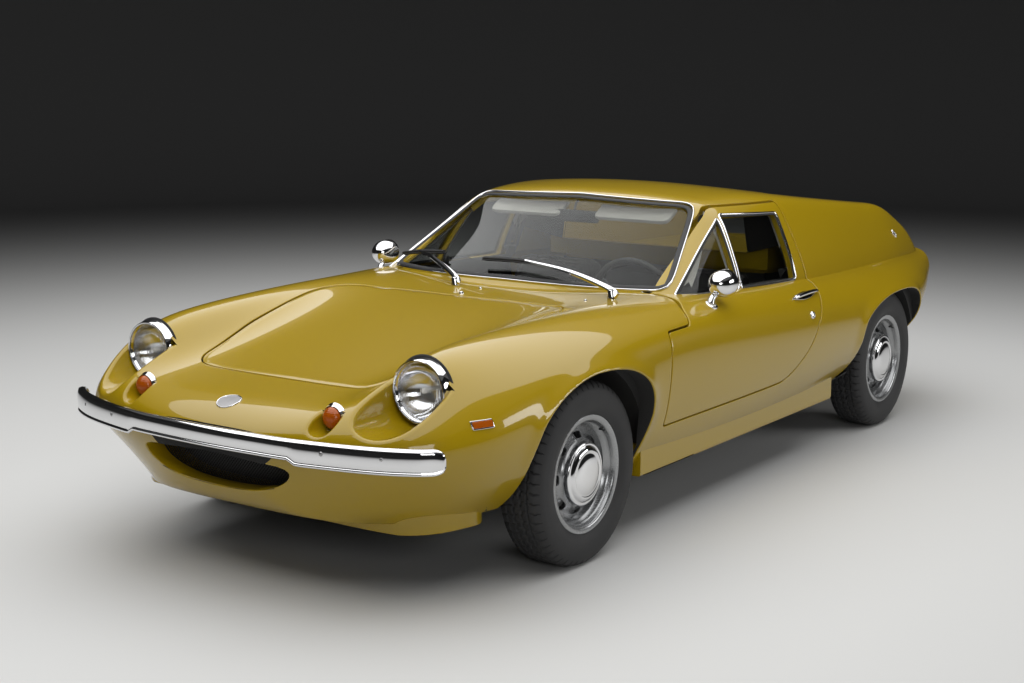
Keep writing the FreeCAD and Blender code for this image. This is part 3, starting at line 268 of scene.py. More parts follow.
# Puts points and faces of any size into a new object of one material.
def meshObject(name, points, faces, materials, indices=None):
    mesh = bpy.data.meshes.new(name)
    size = faces.shape[1]
    mesh.vertices.add(len(points))
    mesh.vertices.foreach_set("co", np.asarray(points, float).ravel())
    mesh.loops.add(faces.size)
    mesh.loops.foreach_set("vertex_index", faces.ravel().astype(np.int32))
    mesh.polygons.add(len(faces))
    mesh.polygons.foreach_set("loop_start", np.arange(0, faces.size, size, dtype=np.int32))
    mesh.update(calc_edges=True)
    mesh.validate()
    for material in materials if isinstance(materials, (list, tuple)) else [materials]:
        mesh.materials.append(material)
    if indices is not None and len(indices) == len(mesh.polygons):
        mesh.polygons.foreach_set("material_index", np.asarray(indices, np.int32))
    mesh.polygons.foreach_set("use_smooth", np.full(len(mesh.polygons), True))
    mesh.update()
    piece = bpy.data.objects.new(name, mesh)
    scene.collection.objects.link(piece)
    return piece


# Several point and face arrays as one.
def joined(parts):
    points, faces, kinds, total = [], [], [], 0
    for number, (some, them) in enumerate(parts):
        points.append(some)
        faces.append(np.asarray(them) + total)
        kinds.append(np.full(len(them), number))
        total += len(some)
    return np.concatenate(points), np.concatenate(faces), np.concatenate(kinds)


# Two triangles for each cell between rows of points; across the rows it may close on itself.
def cellFaces(near, far, closed=True):
    if closed:
        a, b, c, d = near, far, np.roll(far, -1, 1), np.roll(near, -1, 1)
    else:
        a, b, c, d = near[:, :-1], far[:, :-1], far[:, 1:], near[:, 1:]
    quads = np.stack([a, b, c, d], -1).reshape(-1, 4)
    return np.concatenate([quads[:, [0, 1, 2]], quads[:, [0, 2, 3]]])


# A closed profile carried along a path: at each path point, its (across, up) pairs are laid
# out on that point's own side and up directions. An open path gets flat ends.
def carried(path, side, up, profile, closedPath=False):
    profile = np.asarray(profile, float)
    if profile.ndim == 2:
        profile = np.broadcast_to(profile, (len(path),) + profile.shape)
    points = (path[:, None] + side[:, None] * profile[..., :1] + up[:, None] * profile[..., 1:2])
    rows, columns = points.shape[:2]
    index = np.arange(rows * columns).reshape(rows, columns)
    points = points.reshape(-1, 3)
    if closedPath:
        faces = cellFaces(index, np.roll(index, -1, 0))
    else:
        faces = cellFaces(index[:-1], index[1:])
        middles = np.stack([points[index[0]].mean(0), points[index[-1]].mean(0)])
        total = len(points)
        points = np.concatenate([points, middles])
        first = np.stack([index[0], np.roll(index[0], -1), np.full(columns, total)], 1)
        last = np.stack([np.roll(index[-1], -1), index[-1], np.full(columns, total + 1)], 1)
        faces = np.concatenate([faces, first, last])
    return points, faces


def runOf(path):                                 # the way from its start to each of its points
    return np.concatenate([[0], np.cumsum(np.linalg.norm(np.diff(path, axis=0), axis=1))])


def alike(direction, count):                     # one direction for every point of a path
    return np.tile(np.array(direction, float), (count, 1))


# The direction of a path at each of its points, and a side direction square to a given up.
def pathFrame(path, up, closed=False):
    path = np.asarray(path, float)
    ahead = np.roll(path, -1, 0) - np.roll(path, 1, 0)
    if not closed:
        ahead[0], ahead[-1] = path[1] - path[0], path[-1] - path[-2]
    ahead /= np.maximum(np.linalg.norm(ahead, axis=1), 1e-12)[:, None]
    up = np.broadcast_to(np.asarray(up, float), path.shape)
    side = np.cross(ahead, up)
    side /= np.maximum(np.linalg.norm(side, axis=1), 1e-12)[:, None]
    up = np.cross(side, ahead)
    return ahead, side, up


# A smooth path through points, with count points a span.
def smoothPath(points, count=8):
    points = np.asarray(points, float)
    ends = np.concatenate([[2 * points[0] - points[1]], points, [2 * points[-1] - points[-2]]])
    t = (np.arange(count) / count)[None, :, None]
    a, b, c, d = (ends[k:len(ends) - 3 + k, None] for k in range(4))
    curve = 0.5 * (2 * b + (c - a) * t + (2 * a - 5 * b + 4 * c - d) * t ** 2
                   + (3 * b - a - 3 * c + d) * t ** 3)
    return np.concatenate([curve.reshape(-1, points.shape[1]), points[-1:]])


# A tube along a path: a circle of a radius that may change on the way.
def tube(points, radius, count=12, up=(0, 0, 1), closed=False):
    path = np.asarray(points, float)
    _, side, lift = pathFrame(path, up, closed)
    turn = np.arange(count) / count * 2 * math.pi
    circle = np.stack([np.cos(turn), np.sin(turn)], 1)
    radius = np.broadcast_to(radius, len(path))[:, None, None]
    return carried(path, side, lift, circle[None] * radius, closedPath=closed)


# An outline of (radius, along) pairs turned about an axis through a centre.
def turned(profile, centre, axis, count=64, closed=False):
    profile = np.asarray(profile, float)
    axis = np.asarray(axis, float) / np.linalg.norm(axis)
    first = np.cross(axis, [0, 0, 1] if abs(axis[2]) < 0.9 else [1, 0, 0])
    first /= np.linalg.norm(first)
    second = np.cross(axis, first)
    turn = np.arange(count) / count * 2 * math.pi
    spoke = np.cos(turn)[:, None] * first + np.sin(turn)[:, None] * second
    points = (np.asarray(centre, float) + spoke[:, None] * profile[None, :, :1]
              + axis * profile[None, :, 1:2])
    index = np.arange(count * len(profile)).reshape(count, -1)
    return points.reshape(-1, 3), cellFaces(index, np.roll(index, -1, 0), closed)


# Parameters of the surface's points that are seen at given places along one axis: the nearest
# point of a coarse grid, then a few Newton steps.
def locate(evaluate, targets, plane, vRange=(0, 1), uRange=(0, 1)):
    axes = list({"side": (0, 2), "plan": (0, 1), "front": (1, 2)}[plane])
    targets = np.asarray(targets, float)
    params, _ = gridOver(uRange, vRange, 160, 160)
    places = evaluate(params[:, 0], params[:, 1])[:, axes]
    nearest = ((targets[:, None] - places[None]) ** 2).sum(2).argmin(1)
    found = params[nearest]
    for _ in range(6):
        u, v = found[:, 0], found[:, 1]
        step = 1e-4
        here = evaluate(u, v)[:, axes]
        alongU = (evaluate(np.minimum(u + step, 1), v)[:, axes] - here) / step
        alongV = (evaluate(u, np.minimum(v + step, 1))[:, axes] - here) / step
        miss = targets - here
        spread = alongU[:, 0] * alongV[:, 1] - alongU[:, 1] * alongV[:, 0]
        spread = np.where(np.abs(spread) < 1e-9, 1e-9, spread)
        du = (miss[:, 0] * alongV[:, 1] - miss[:, 1] * alongV[:, 0]) / spread
        dv = (alongU[:, 0] * miss[:, 1] - alongU[:, 1] * miss[:, 0]) / spread
        found = np.stack([np.clip(u + np.clip(du, -.05, .05), *uRange),
                          np.clip(v + np.clip(dv, -.05, .05), *vRange)], 1)
    return found
print("helpers ready")


# Materials.
# A node group with float inputs and their values, and float outputs.
def nodeGroup(name, inputs, outputs):
    group = bpy.data.node_groups.new(name, "ShaderNodeTree")
    kind = "NodeSocketFloat"
    for socketName, value in inputs:
        socket = group.interface.new_socket(name=socketName, in_out="INPUT", socket_type=kind)
        socket.default_value = value
    for socketName in outputs:
        group.interface.new_socket(name=socketName, in_out="OUTPUT", socket_type=kind)
    nodes = group.nodes
    return group, nodes, group.links, nodes.new("NodeGroupInput"), nodes.new("NodeGroupOutput")


# Light wear and dust shared by finishes: a mask of fine spots and one of broad soft patches.
def makeDust():
    group, nodes, links, entry, leave = nodeGroup(
        "dustAndPatches", (("Spot Size", 240.0), ("Patch Size", 3.0), ("Amount", 0.5)),
        ("Spots", "Patches"))
    place = nodes.new("ShaderNodeTexCoord")
    for name, size, low, high in (("Spots", "Spot Size", 0.58, 0.78),
                                  ("Patches", "Patch Size", 0.3, 0.75)):
        noise = nodes.new("ShaderNodeTexNoise")
        noise.inputs["Detail"].default_value = 3
        spread = nodes.new("ShaderNodeMapRange")
        spread.inputs["From Min"].default_value = low
        spread.inputs["From Max"].default_value = high
        amount = nodes.new("ShaderNodeMath")
        amount.operation = "MULTIPLY"
        links.new(place.outputs["Object"], noise.inputs["Vector"])
        links.new(entry.outputs[size], noise.inputs["Scale"])
        links.new(noise.outputs["Fac"], spread.inputs["Value"])
        links.new(spread.outputs["Result"], amount.inputs[0])
        links.new(entry.outputs["Amount"], amount.inputs[1])
        links.new(amount.outputs["Value"], leave.inputs[name])
    return group


# Grain of moulded or hide surfaces: height from cells with a little noise, and a tint mask.
def makeGrain():
    group, nodes, links, entry, leave = nodeGroup(
        "grain", (("Cell Size", 600.0), ("Softness", 0.5)), ("Height", "Tint"))
    place = nodes.new("ShaderNodeTexCoord")
    cells = nodes.new("ShaderNodeTexVoronoi")
    cells.feature = "SMOOTH_F1"
    noise = nodes.new("ShaderNodeTexNoise")
    noise.inputs["Scale"].default_value = 9
    noise.inputs["Detail"].default_value = 4
    links.new(place.outputs["Object"], cells.inputs["Vector"])
    links.new(entry.outputs["Cell Size"], cells.inputs["Scale"])
    links.new(entry.outputs["Softness"], cells.inputs["Smoothness"])
    links.new(place.outputs["Object"], noise.inputs["Vector"])
    links.new(cells.outputs["Distance"], leave.inputs["Height"])
    links.new(noise.outputs["Fac"], leave.inputs["Tint"])
    return group


dust = makeDust()
grain = makeGrain()


# A finish: plain values on the Principled sockets, colour varied between two tones by a mask,
# roughness by another, and a bump from a chosen height.
def finish(name, colour, roughness=0.4, metallic=0.0, second=None, spread=0.0, coat=0.0,
           coatRoughness=0.03, transmission=0.0, ior=1.5, cell=None, bump=0.0, depth=0.0004,
           spots=240.0, patches=3.0, amount=0.5, sheen=0.0, specular=0.5):
    material = bpy.data.materials.new(name)
    material.use_nodes = True
    nodes, links = material.node_tree.nodes, material.node_tree.links
    shader = nodes["Principled BSDF"]
    for socket, value in (("Roughness", roughness), ("Metallic", metallic), ("Coat Weight", coat),
                          ("Coat Roughness", coatRoughness), ("IOR", ior),
                          ("Transmission Weight", transmission), ("Sheen Weight", sheen),
                          ("Specular IOR Level", specular)):
        shader.inputs[socket].default_value = value
    shader.inputs["Base Color"].default_value = (*colour, 1)
    material.diffuse_color = (*colour, 1)
    wear = nodes.new("ShaderNodeGroup")
    wear.node_tree = dust
    wear.inputs["Spot Size"].default_value = spots
    wear.inputs["Patch Size"].default_value = patches
    wear.inputs["Amount"].default_value = amount
    if second is not None:
        mix = nodes.new("ShaderNodeMix")
        mix.data_type = "RGBA"
        mix.inputs["A"].default_value = (*colour, 1)
        mix.inputs["B"].default_value = (*second, 1)
        links.new(wear.outputs["Patches"], mix.inputs["Factor"])
        links.new(mix.outputs["Result"], shader.inputs["Base Color"])
    if spread:
        rough = nodes.new("ShaderNodeMapRange")
        rough.inputs["To Min"].default_value = roughness
        rough.inputs["To Max"].default_value = min(1, roughness + spread)
        links.new(wear.outputs["Spots"], rough.inputs["Value"])
        links.new(rough.outputs["Result"], shader.inputs["Roughness"])
    if bump:
        height = nodes.new("ShaderNodeBump")
        height.inputs["Strength"].default_value = bump
        height.inputs["Distance"].default_value = depth
        if cell:
            cells = nodes.new("ShaderNodeGroup")
            cells.node_tree = grain
            cells.inputs["Cell Size"].default_value = cell
            links.new(cells.outputs["Height"], height.inputs["Height"])
        else:
            links.new(wear.outputs["Spots"], height.inputs["Height"])
        links.new(height.outputs["Normal"], shader.inputs["Normal"])
    return material


# Glass that lets light through: the plain glass shader, clear to rays that only cast shadows.
def makeGlass(name, colour, roughness=0.0, ior=1.45):
    material = finish(name, colour, roughness=roughness, transmission=1.0, ior=ior, amount=0.0,
                      specular=0.2)
    nodes, links = material.node_tree.nodes, material.node_tree.links
    shader, output = nodes["Principled BSDF"], nodes["Material Output"]
    clear = nodes.new("ShaderNodeBsdfTransparent")
    clear.inputs["Color"].default_value = (*[0.6 + 0.4 * part for part in colour], 1)
    path, mix = nodes.new("ShaderNodeLightPath"), nodes.new("ShaderNodeMixShader")
    links.new(path.outputs["Is Shadow Ray"], mix.inputs["Fac"])
    links.new(shader.outputs["BSDF"], mix.inputs[1])
    links.new(clear.outputs["BSDF"], mix.inputs[2])
    links.new(mix.outputs["Shader"], output.inputs["Surface"])
    return material


finishes = {
    "paint": finish("mustardPaint", (0.37, 0.247, 0.0045), 0.30, second=(0.345, 0.228, 0.004),
                    spread=0.05, coat=0.9, coatRoughness=0.02, bump=0.02, depth=0.0002,
                    spots=420.0, patches=1.4, amount=0.5, specular=0.12),
    "jamb": finish("jambPaint", (0.33, 0.215, 0.014), 0.4, second=(0.25, 0.165, 0.012),
                   spread=0.2, coat=0.3, patches=9.0),
    "underseal": finish("underseal", (0.012, 0.012, 0.012), 0.85, second=(0.03, 0.028, 0.025),
                        spread=0.1, cell=260.0, bump=0.5, depth=0.002, patches=6.0),
    "trimBlack": finish("trimBlack", (0.018, 0.017, 0.016), 0.5, second=(0.03, 0.028, 0.027),
                        spread=0.15, cell=700.0, bump=0.3, patches=12.0),
    "vinyl": finish("seatVinyl", (0.020, 0.018, 0.017), 0.42, second=(0.034, 0.031, 0.029),
                    spread=0.2, cell=520.0, bump=0.55, depth=0.0005, patches=14.0),
    "lining": finish("roofLining", (0.42, 0.40, 0.36), 0.8, second=(0.36, 0.34, 0.31),
                     spread=0.1, cell=900.0, bump=0.4, patches=5.0, sheen=0.2),
    "carpet": finish("floorCarpet", (0.022, 0.02, 0.019), 0.95, second=(0.04, 0.036, 0.034),
                     cell=1500.0, bump=0.9, depth=0.002, patches=8.0, sheen=0.4),
    "chrome": finish("chrome", (0.80, 0.80, 0.81), 0.05, 1.0, second=(0.72, 0.72, 0.73),
                     spread=0.08, patches=4.0, spots=300.0, amount=0.4),
    "rubber": finish("rubber", (0.016, 0.016, 0.017), 0.6, second=(0.03, 0.03, 0.03),
                     spread=0.2, bump=0.15, patches=15.0),
    "tyre": finish("tyreRubber", (0.014, 0.014, 0.015), 0.62, second=(0.028, 0.027, 0.026),
                   spread=0.2, bump=0.2, depth=0.0005, spots=700.0, patches=10.0),
    "silver": finish("wheelSilver", (0.33, 0.335, 0.34), 0.27, 0.85, second=(0.27, 0.275, 0.28),
                     spread=0.12, coat=0.3, bump=0.03, spots=500.0, patches=16.0),
    "black": finish("satinBlack", (0.012, 0.012, 0.013), 0.45, second=(0.022, 0.021, 0.02),
                    spread=0.2, coat=0.1, patches=10.0),
    "steel": finish("machinedSteel", (0.42, 0.42, 0.43), 0.36, 0.9, second=(0.25, 0.235, 0.22),
                    spread=0.25, patches=18.0, bump=0.05),
    "iron": finish("castAlloy", (0.30, 0.30, 0.30), 0.58, 0.6, second=(0.19, 0.185, 0.18),
                   spread=0.2, cell=420.0, bump=0.5, depth=0.0008, patches=9.0),
    "bulb": finish("bulbGlow", (0.75, 0.74, 0.70), 0.2, amount=0.1),
    "reflector": finish("lampReflector", (0.86, 0.86, 0.87), 0.08, 1.0, spread=0.05),
    "wood": finish("dashVeneer", (0.14, 0.05, 0.018), 0.28, second=(0.07, 0.024, 0.01),
                   spread=0.1, coat=0.8, patches=26.0, amount=0.9),
    "dial": finish("dialFace", (0.01, 0.01, 0.011), 0.4, second=(0.016, 0.016, 0.017)),
    "mark": finish("dialMarks", (0.75, 0.75, 0.72), 0.5, second=(0.68, 0.68, 0.65)),
    "windowGlass": makeGlass("windowGlass", (0.62, 0.64, 0.63), ior=1.2),
    "lensGlass": makeGlass("lampLens", (0.96, 0.97, 0.98), 0.03, 1.5),
    "amber": finish("amberLens", (0.60, 0.125, 0.004), 0.16, transmission=0.35, ior=1.45,
                    second=(0.45, 0.085, 0.003), coat=0.3, patches=20.0, specular=0.3),
    "red": finish("redLens", (0.35, 0.008, 0.006), 0.14, transmission=0.25, ior=1.49,
                  second=(0.28, 0.006, 0.005), coat=0.6, patches=20.0),
}
print("finishes ready")


# The body's skins.
bodyLines = [
    # sill edge, lower flank, widest line, upper flank
    [(-838, 190, 400), (-825, 200, 352), (-775, 290, 272), (-690, 400, 236), (-545, 545, 226),
     (-130, 680, 240), (800, 724, 252), (1700, 724, 262), (2150, 700, 268), (2850, 620, 325),
     (3094, 545, 362)],
    [(-838, 235, 425), (-825, 268, 388), (-775, 365, 335), (-690, 500, 318), (-545, 655, 305),
     (-130, 745, 320), (480, 762, 325), (800, 772, 325), (1700, 778, 335), (2550, 735, 350),
     (2850, 660, 372), (3094, 590, 405)],
    [(-838, 250, 448), (-825, 375, 430), (-775, 540, 410), (-690, 655, 412), (-545, 745, 415),
     (-130, 795, 435), (170, 790, 440), (480, 786, 440), (1250, 806, 440), (1700, 815, 440),
     (2150, 826, 430), (2550, 785, 432), (2850, 715, 445), (3094, 632, 460)],
    [(-838, 245, 470), (-825, 370, 468), (-775, 548, 470), (-690, 680, 475), (-545, 758, 505),
     (-380, 782, 535), (-130, 796, 560), (170, 792, 568), (480, 790, 572), (800, 802, 570),
     (1700, 818, 548), (2150, 828, 540), (2550, 790, 538), (2850, 735, 532), (3094, 645, 525)],
    # shoulder, outer crest, inner crest
    [(-838, 230, 488), (-825, 340, 495), (-775, 515, 510), (-690, 640, 530), (-545, 698, 598),
     (-380, 722, 628), (-130, 748, 648), (480, 775, 672), (1250, 787, 640), (1700, 795, 612),
     (2550, 765, 602), (3094, 642, 592)],
    [(-838, 200, 496), (-825, 300, 510), (-775, 460, 532), (-690, 568, 575), (-545, 605, 684),
     (-380, 616, 714), (170, 635, 733), (480, 672, 726), (800, 706, 730), (1700, 715, 700),
     (2550, 675, 678), (3094, 605, 655)],
    [(-838, 160, 499), (-825, 240, 514), (-775, 380, 542), (-690, 485, 592), (-545, 475, 708),
     (-380, 480, 735), (170, 528, 748), (480, 560, 742), (800, 600, 737), (1700, 600, 705),
     (2550, 580, 690), (3094, 520, 668)],
    # valley beside the bonnet, bonnet, centre
    [(-838, 120, 500), (-825, 180, 516), (-775, 270, 548), (-690, 370, 570), (-545, 405, 590),
     (-380, 415, 612), (-130, 425, 660), (170, 430, 708), (480, 430, 740), (800, 430, 746),
     (1700, 430, 700), (3094, 430, 665)],
    [(-838, 60, 500), (-825, 90, 516), (-775, 140, 550), (-690, 200, 567), (-545, 240, 583),
     (-130, 240, 650), (170, 240, 695), (480, 240, 730), (800, 240, 746), (1700, 240, 700),
     (3094, 240, 665)],
    [(-838, 0, 500), (-825, 0, 516), (-775, 0, 550), (-690, 0, 567), (-545, 0, 583),
     (-130, 0, 650), (170, 0, 695), (480, 0, 730), (800, 0, 746), (1700, 0, 700), (3094, 0, 665)],
]
bodyStations = [-838, -825, -775, -690, -545, -380, -130, 170, 480, 800, 1250, 1700, 2150, 2550,
                2850, 3060, 3094]
cabinLines = [
    # foot, belt, lower side, upper side
    [(430, 560, 490), (560, 640, 490), (740, 690, 490), (1060, 705, 490), (1800, 712, 490),
     (2480, 670, 490), (3050, 590, 490)],
    [(430, 570, 550), (560, 645, 640), (740, 690, 690), (1060, 705, 690), (1800, 711, 670),
     (2480, 672, 655), (3050, 592, 630)],
    [(430, 560, 590), (560, 635, 660), (740, 650, 715), (920, 636, 775), (1060, 636, 815),
     (1800, 668, 810), (2150, 660, 785), (2480, 648, 750), (2700, 638, 715), (3050, 588, 640)],
    [(430, 540, 600), (560, 610, 668), (740, 628, 732), (920, 578, 845), (1060, 560, 920),
     (1130, 562, 950), (1420, 585, 965), (1800, 604, 940), (2440, 606, 875), (2590, 606, 855),
     (2700, 606, 800), (2900, 604, 722), (3050, 580, 650)],
    # cant rail, roof side
    [(430, 500, 605), (560, 550, 680), (740, 585, 748), (920, 520, 868), (1060, 490, 948),
     (1130, 490, 996), (1420, 535, 1012), (1600, 560, 1000), (1800, 570, 980), (2440, 580, 915),
     (2590, 585, 897), (2700, 588, 845), (2900, 590, 757), (3050, 570, 660)],
    [(430, 420, 610), (560, 440, 700), (740, 465, 790), (920, 430, 885), (1060, 410, 964),
     (1130, 410, 1008), (1420, 445, 1030), (1600, 480, 1018), (1800, 520, 990), (2440, 530, 918),
     (2590, 530, 900), (2700, 530, 847), (2900, 530, 759), (3050, 510, 660)],
    # roof, roof near its middle, middle
    [(430, 300, 612), (560, 300, 722), (740, 320, 815), (920, 305, 903), (1060, 290, 978),
     (1130, 290, 1018), (1420, 300, 1043), (1600, 300, 1028), (1800, 300, 992), (2440, 300, 918),
     (2590, 300, 900), (2700, 300, 847), (2900, 300, 759), (3050, 300, 660)],
    [(430, 150, 615), (560, 150, 735), (740, 150, 828), (920, 150, 915), (1060, 150, 988),
     (1130, 150, 1026), (1420, 150, 1050), (1600, 150, 1034), (1800, 150, 993), (2440, 150, 918),
     (2590, 150, 900), (2700, 150, 847), (2900, 150, 759), (3050, 150, 660)],
    [(430, 0, 616), (560, 0, 738), (740, 0, 832), (920, 0, 918), (1060, 0, 991),
     (1130, 0, 1028), (1420, 0, 1052), (1600, 0, 1036), (1800, 0, 993), (2440, 0, 918),
     (2590, 0, 900), (2700, 0, 847), (2900, 0, 759), (3050, 0, 660)],
]
cabinStations = [430, 560, 740, 920, 1060, 1130, 1220, 1420, 1600, 1800, 2150, 2440, 2530, 2620,
                 2740, 2900, 3050]
bodySkin = makeSkin(bodyLines, bodyStations)
cabinSkin = makeSkin(cabinLines, cabinStations, foot=490)


# How far points lie from a skin, below 0 within it: its sections are closed outlines, and each
# point is set against the outline of the section nearest along X.
class SectionTest:
    def __init__(self, evaluate, rows=420, columns=150):
        u, v = np.meshgrid(np.linspace(0, 1, rows), np.linspace(0, 0.5, columns), indexing="ij")
        places = evaluate(u.ravel(), v.ravel()).reshape(rows, columns, 3)
        self.x = places[:, -1, 0]
        self.outline = np.abs(places[..., 1:])

    def distance(self, points, signed=True):
        result = np.empty(len(points))
        share = np.empty(len(points))
        for some in np.array_split(np.arange(len(points)), max(1, len(points) // 20000)):
            where = points[some]
            row = np.clip(np.searchsorted(self.x, where[:, 0]), 1, len(self.x) - 1)
            part = np.clip((where[:, 0] - self.x[row - 1]) / (self.x[row] - self.x[row - 1]), 0, 1)
            lines = (self.outline[row - 1] * (1 - part)[:, None, None]
                     + self.outline[row] * part[:, None, None])
            spot = np.stack([np.abs(where[:, 1]), where[:, 2]], 1)[:, None]
            start, edge = lines[:, :-1], lines[:, 1:] - lines[:, :-1]
            along = np.clip(((spot - start) * edge).sum(2)
                            / np.maximum((edge ** 2).sum(2), 1e-18), 0, 1)
            gap = np.linalg.norm(spot - start - along[..., None] * edge, axis=2)
            nearest = gap.argmin(1)
            found = gap[np.arange(len(some)), nearest]
            side = edge[np.arange(len(some)), nearest]
            offset = (spot[:, 0] - start[np.arange(len(some)), nearest])
            outside = side[:, 1] * offset[:, 0] - side[:, 0] * offset[:, 1] > 0
            outside |= (where[:, 0] < self.x[0]) | (where[:, 0] > self.x[-1])
            result[some] = np.where(outside, found, -found) if signed else found
            share[some] = (nearest + along[np.arange(len(some)), nearest]) / (lines.shape[1] - 1)
        return result, share


bodyTest = SectionTest(bodySkin)
cabinTest = SectionTest(cabinSkin)


def insideOf(test, margin):                      # a panel test against another skin
    return lambda points: -(test.distance(points)[0] + margin)


print("skins ready")


# Outlines, in metres.
def metres(points, plane="side"):                # mm behind the axle, or mm across, to metres
    points = np.array(points, float) / 1000
    return points if plane == "front" else points + [axleAt, 0]


# Each corner becomes a short curve that starts and ends a radius away along its two sides.
def rounded(points, radius=0.012, count=5):
    points = np.asarray(points, float)
    back, ahead = np.roll(points, 1, 0) - points, np.roll(points, -1, 0) - points
    backLength = np.linalg.norm(back, axis=1)
    aheadLength = np.linalg.norm(ahead, axis=1)
    radius = np.broadcast_to(radius, len(points))
    start = points + back * (np.minimum(radius, 0.49 * backLength) / backLength)[:, None]
    end = points + ahead * (np.minimum(radius, 0.49 * aheadLength) / aheadLength)[:, None]
    t = np.linspace(0, 1, count)[None, :, None]
    curve = ((1 - t) ** 2 * start[:, None] + 2 * t * (1 - t) * points[:, None]
             + t ** 2 * end[:, None])
    return curve.reshape(-1, 2)


def halfOf(sign, whole=(0, .5), mirrored=(.5, 1)):  # the skins' second parameter on one side
    return whole if sign < 0 else mirrored


def bothHalves(half):                            # a plan's half outline, mirrored over Y
    half = np.asarray(half, float)
    return np.concatenate([half, half[::-1] * [1, -1]])


wide = 0.5
doorOutline = rounded(metres([
    (412, 360), (421, 548), (442, 658), (578, 662), (594, 677), (619, 708), (661, 724),
    (1150, 986), (1185, 990), (1581, 983), (1608, 697), (1594, 664), (1559, 628), (1510, 573),
    (1454, 499), (1391, 439), (1272, 374), (1187, 366)]),
    [.01, wide, .012, .012, wide, wide, .02, .02, .02, .014, .01, wide, wide, wide, wide, wide,
     wide, wide])
archOutlines = {
    "front": rounded(metres([
        (-345, 60), (-322, 200), (-303, 265), (-314, 321), (-329, 397), (-325, 442), (-304, 489),
        (-260, 526), (-197, 558), (-109, 584), (-30, 597), (53, 598), (137, 590), (199, 574),
        (256, 547), (290, 513), (309, 474), (312, 430), (306, 382), (300, 342), (298, 301),
        (297, 262), (297, 60)]), wide),
    "rear": rounded(metres([
        (1771, 60), (1811, 264), (1891, 285), (1915, 315), (1915, 355), (1901, 427), (1901, 477),
        (1936, 517), (2032, 548), (2159, 567), (2275, 573), (2427, 571), (2526, 559), (2581, 537),
        (2616, 488), (2629, 438), (2629, 404), (2611, 340), (2611, 60)]), wide)}
bonnetOutline = rounded(bothHalves(metres([
    (-541, 90), (-540, 327), (-500, 365), (-420, 380), (-233, 419), (-83, 441), (137, 477),
    (240, 477), (324, 438), (370, 230)])), .04)
deckOutline = rounded(metres([(1720, -470), (2930, -470), (2930, 470), (1720, 470)]), .03)
screenOutline = rounded(metres([
    (-578, 744), (0, 750), (578, 744), (586, 764), (478, 984), (440, 1000), (0, 1014),
    (-440, 1000), (-478, 984), (-586, 764)], "front"), .03)
quarterPane = rounded(metres([(724, 728), (1085, 714), (1154, 955.5)]), .012)
mainPane = rounded(metres([(1099, 713.6), (1522, 702), (1538, 948), (1172, 965.6)]), .014)
grilleOutline = rounded(metres([
    (-300, 408), (-262, 352), (-150, 318), (0, 310), (150, 318), (262, 352), (300, 408),
    (0, 420)], "front"), .09)

headlamp = {"x": at(-539), "side": 0.540, "height": 0.610}
blinker = {"x": at(-731), "side": 0.373, "height": 0.546}
shell = {"gap": 0.005, "roll": 0.0022, "wall": 0.016, "archRoll": 0.004, "archAt": 0.733,
         "lampRoll": 0.014, "lampSeat": -537, "blinkerSeat": -726, "cabinWall": 0.034}


# Cuts for round lamps set in coves: a circle seen from the front, ahead of the lamp.
def lampCut(lamp, radius, lampAt, roll):
    def value(points):
        gap = np.hypot(np.abs(points[:, 1]) - lamp["side"], points[:, 2] - lamp["height"])
        return np.where(points[:, 0] < lampAt - 0.002, radius + roll - gap, -1.0)
    return {"test": value, "roll": roll, "plane": (0, lampAt)}


def sidesCut(outline, margin, keep, **edge):
    return {"test": seen(outline, "side", 0, keep, margin), **edge}


betweenSails = {"x": at(1665), "y": 0.505}


def cabinCovers(points):                         # the deck shows only between the sail panels
    covered = -(cabinTest.distance(points)[0] + 0.002)
    uncovered = -np.minimum(points[:, 0] - betweenSails["x"], betweenSails["y"] - abs(points[:, 1]))
    return np.minimum(covered, uncovered)


def ahead(limit, test):                          # applies a test only ahead of a place along X
    return lambda points: np.where(points[:, 0] < limit, test(points), -1.0)


gapRoll = shell["gap"] + shell["roll"]
shutEdge = {"roll": shell["roll"], "depth": shell["wall"]}
grilleCut = {"test": ahead(at(-690), seen(grilleOutline, "front", 0, "outside", 0.004)),
             "roll": 0.004, "plane": (0, at(-690))}
bodyCuts = [
    sidesCut(doorOutline, gapRoll, "outside", **shutEdge),
    *(sidesCut(archOutlines[end], shell["archRoll"], "outside", roll=shell["archRoll"],
               plane=(1, shell["archAt"])) for end in ("front", "rear")),
    *({"test": seen(outline, "plan", 0, "outside", gapRoll), **shutEdge}
      for outline in (bonnetOutline, deckOutline)),
    lampCut(headlamp, 0.098, at(shell["lampSeat"]), shell["lampRoll"]),
    lampCut(blinker, 0.038, at(shell["blinkerSeat"]), 0.010),
    grilleCut,
    {"test": cabinCovers}]


# Flare of the wheel arches: the skin swells towards each lip, and fades with distance.
flare = {"height": 0.009, "reach": 0.030, "from": 0.30, "full": 0.12, "top": 1.2}


def archFlare(points, normals):
    rise = np.zeros(len(points))
    for outline in archOutlines.values():
        gap = np.maximum(fromOutline(points[:, [0, 2]], outline), 0)
        rise += flare["height"] * np.exp(-(gap / flare["reach"]) ** 2)
    upper = np.clip((points[:, 2] - flare["from"]) / flare["full"], 0, 1)
    return rise * upper * np.clip(flare["top"] - abs(normals[:, 2]), 0, 1)


def wholeFaces(faces):                           # leaves out triangles with a corner twice
    a, b, c = faces.T
    return faces[(a != b) & (b != c) & (a != c)]


def shrinkTo(points, faces):                     # leaves out points that no face uses
    used, faces = np.unique(faces, return_inverse=True)
    return points[used], faces.reshape(-1, 3)


def skinPart(evaluate, counts, cuts, uRange=(0, 1), vRange=(0, 1), **options):
    return shrinkTo(*cutPanel(evaluate, counts, cuts, uRange, vRange, **options)[:2])


bodyPart = skinPart(bodySkin, (330, 260), bodyCuts, lift=archFlare)
print("body skin", len(bodyPart[1]))

